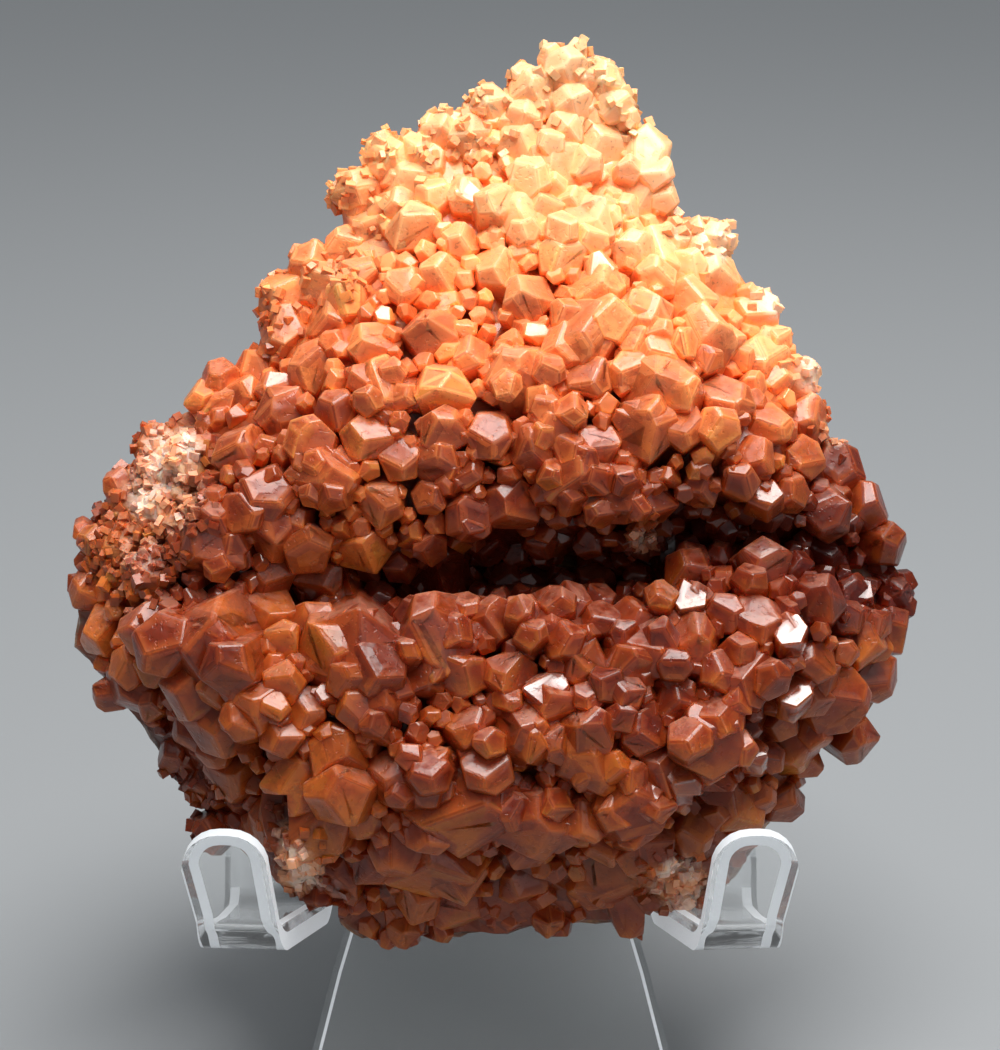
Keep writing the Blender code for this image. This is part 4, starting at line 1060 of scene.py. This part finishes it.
# ------------------------------------------------------------------ easel
def easel_sheet(clear, frosted_with_painted_glow):
    mesh = bmesh.new()
    back = mesh.faces.new([mesh.verts.new((across, run, 0)) for across, run in sheet_outline()])
    if back.normal.z > 0:
        back.normal_flip()
    front = bmesh.ops.extrude_face_region(mesh, geom=[back], use_keep_orig=True)["geom"]
    front_face = [item for item in front if isinstance(item, bmesh.types.BMFace)]
    for vert in front_face[0].verts:
        vert.co.z = SHEET - EDGE_CHAMFER
    bmesh.ops.recalc_face_normals(mesh, faces=mesh.faces)
    bmesh.ops.inset_region(mesh, faces=front_face, thickness=EDGE_CHAMFER, use_even_offset=True)
    for vert in front_face[0].verts:
        vert.co.z = SHEET
    for face in mesh.faces:
        face.material_index = 0 if abs(face.normal.z) > 0.99 else 1
    for thickness, mark in ((FOOT_BAND, 3), (LIP_BAND - FOOT_BAND, 2)):
        band = bmesh.ops.inset_region(mesh, faces=front_face, thickness=thickness, use_even_offset=True)["faces"]
        for face in band:
            face.material_index = mark
    bmesh.ops.triangulate(mesh, faces=mesh.faces)
    for run in bend_lines():
        parts = mesh.verts[:] + mesh.edges[:] + mesh.faces[:]
        bmesh.ops.bisect_plane(mesh, geom=parts, plane_co=(0, run, 0), plane_no=(0, 1, 0), dist=1e-4)
    for face in mesh.faces:
        if face.material_index > 1:
            middle = face.calc_center_median()
            on_foot = abs(middle.x) < along(sorted(SLOT_MIDDLE), middle.y)[0]
            frosted_here = face.material_index == 3 if on_foot else middle.y < BEND_START
            face.material_index = 1 if frosted_here and middle.y < SLOT_TOP_V else 0
    for vert in mesh.verts:
        vert.co = sheet_place(*vert.co)
    for vert in mesh.verts:
        vert.co = leaned(*vert.co)
    parts = mesh.verts[:] + mesh.edges[:] + mesh.faces[:]
    bmesh.ops.bisect_plane(mesh, geom=parts, plane_co=(0, 0, 0), plane_no=(0, 0, -1), clear_outer=True)
    open_edges = [edge for edge in mesh.edges if edge.is_boundary]
    for face in bmesh.ops.holes_fill(mesh, edges=open_edges, sides=0)["faces"]:
        face.material_index = 1
    bmesh.ops.recalc_face_normals(mesh, faces=mesh.faces)
    data = bpy.data.meshes.new("easel_sheet")
    mesh.to_mesh(data)
    mesh.free()
    data.materials.append(clear)
    data.materials.append(frosted_with_painted_glow)
    data.shade_smooth()
    data.set_sharp_from_angle(angle=math.radians(25))
    thing = bpy.data.objects.new("easel_sheet", data)
    bpy.context.scene.collection.objects.link(thing)
    return thing


# ------------------------------------------------------------------ studio
def aim(thing, target):
    thing.rotation_euler = (target - thing.location).to_track_quat("-Z", "Y").to_euler()


def area_light(name, place, target, width, height, power, colour):
    lamp = bpy.data.lights.new(name, "AREA")
    lamp.shape = "RECTANGLE"
    lamp.size = width
    lamp.size_y = height
    lamp.energy = power
    lamp.color = colour
    thing = bpy.data.objects.new(name, lamp)
    bpy.context.scene.collection.objects.link(thing)
    thing.location = place
    aim(thing, Vector(target))


KEY_PLACE = Vector((0.10, -0.12, 0.75))


def studio():
    data = bpy.data.meshes.new("floor")
    data.from_pydata([(-9, -9, 0), (9, -9, 0), (9, 9, 0), (-9, 9, 0)], [], [(0, 1, 2, 3)])
    data.materials.append(plain_finish("pale_floor", (0.220, 0.230, 0.240), 0.7))
    floor = bpy.data.objects.new("floor", data)
    bpy.context.scene.collection.objects.link(floor)
    area_light("key", KEY_PLACE, (0, 0.01, 0.08), 0.60, 0.36, 9.2, (1.0, 0.98, 0.95))
    sky = bpy.data.lights.new("sky", "SUN")
    sky.energy = 1.5
    sky.angle = math.radians(70)
    sky.color = (0.95, 0.98, 1.0)
    bpy.context.scene.collection.objects.link(bpy.data.objects.new("sky", sky))
    area_light("fill", (0.5, -0.7, 0.35), (0, 0.02, 0.07), 0.6, 0.5, 0.9, (0.95, 0.98, 1.0))
    world = bpy.data.worlds.new("studio")
    world.use_nodes = True
    world.node_tree.nodes["Background"].inputs["Color"].default_value = (0.80, 0.83, 0.86, 1)
    world.node_tree.nodes["Background"].inputs["Strength"].default_value = 0.22
    bpy.context.scene.world = world
    bpy.context.scene.view_settings.view_transform = "Standard"


SENSOR = 36.0
SHEET_PIXELS_PER_MM = 8.0
PICTURE_WIDTH = 1000


def camera():
    lens = bpy.data.cameras.new("camera")
    lens.sensor_fit = "HORIZONTAL"
    lens.sensor_width = SENSOR
    lens.lens = SHEET_PIXELS_PER_MM * (SIGHT - SIGHT_PLANE) * SENSOR / PICTURE_WIDTH
    lens.clip_start = 0.01
    thing = bpy.data.objects.new("camera", lens)
    bpy.context.scene.collection.objects.link(thing)
    thing.location = leaned(SPECIMEN_U, 0, SIGHT)
    aim(thing, leaned(SPECIMEN_U, 0, 0))
    bpy.context.scene.camera = thing


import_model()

numbers = random.Random(SEED)
body = rough_body(numbers)
crystals = bpy.data.collections.new("crystals")
bpy.context.scene.collection.children.link(crystals)
crystal_objects(numbers, crystals)
calcite = grown_together(body, crystals, calcite_finish("orange_calcite", False))
cut_clear(calcite)
mark_surface(calcite)
for thing in list(crystals.objects):
    remove(thing)
remove(body)
bpy.data.collections.remove(crystals)
crust = sugary_crust(calcite, calcite_finish("sugary_calcite", True))
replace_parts(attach(calcite, "root"), "calcite_cluster")
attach(crust, "root")

sheet = easel_sheet(acrylic_finish(), cut_edge_finish())
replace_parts(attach(sheet, "root"), "acrylic_easel")

studio()
camera()
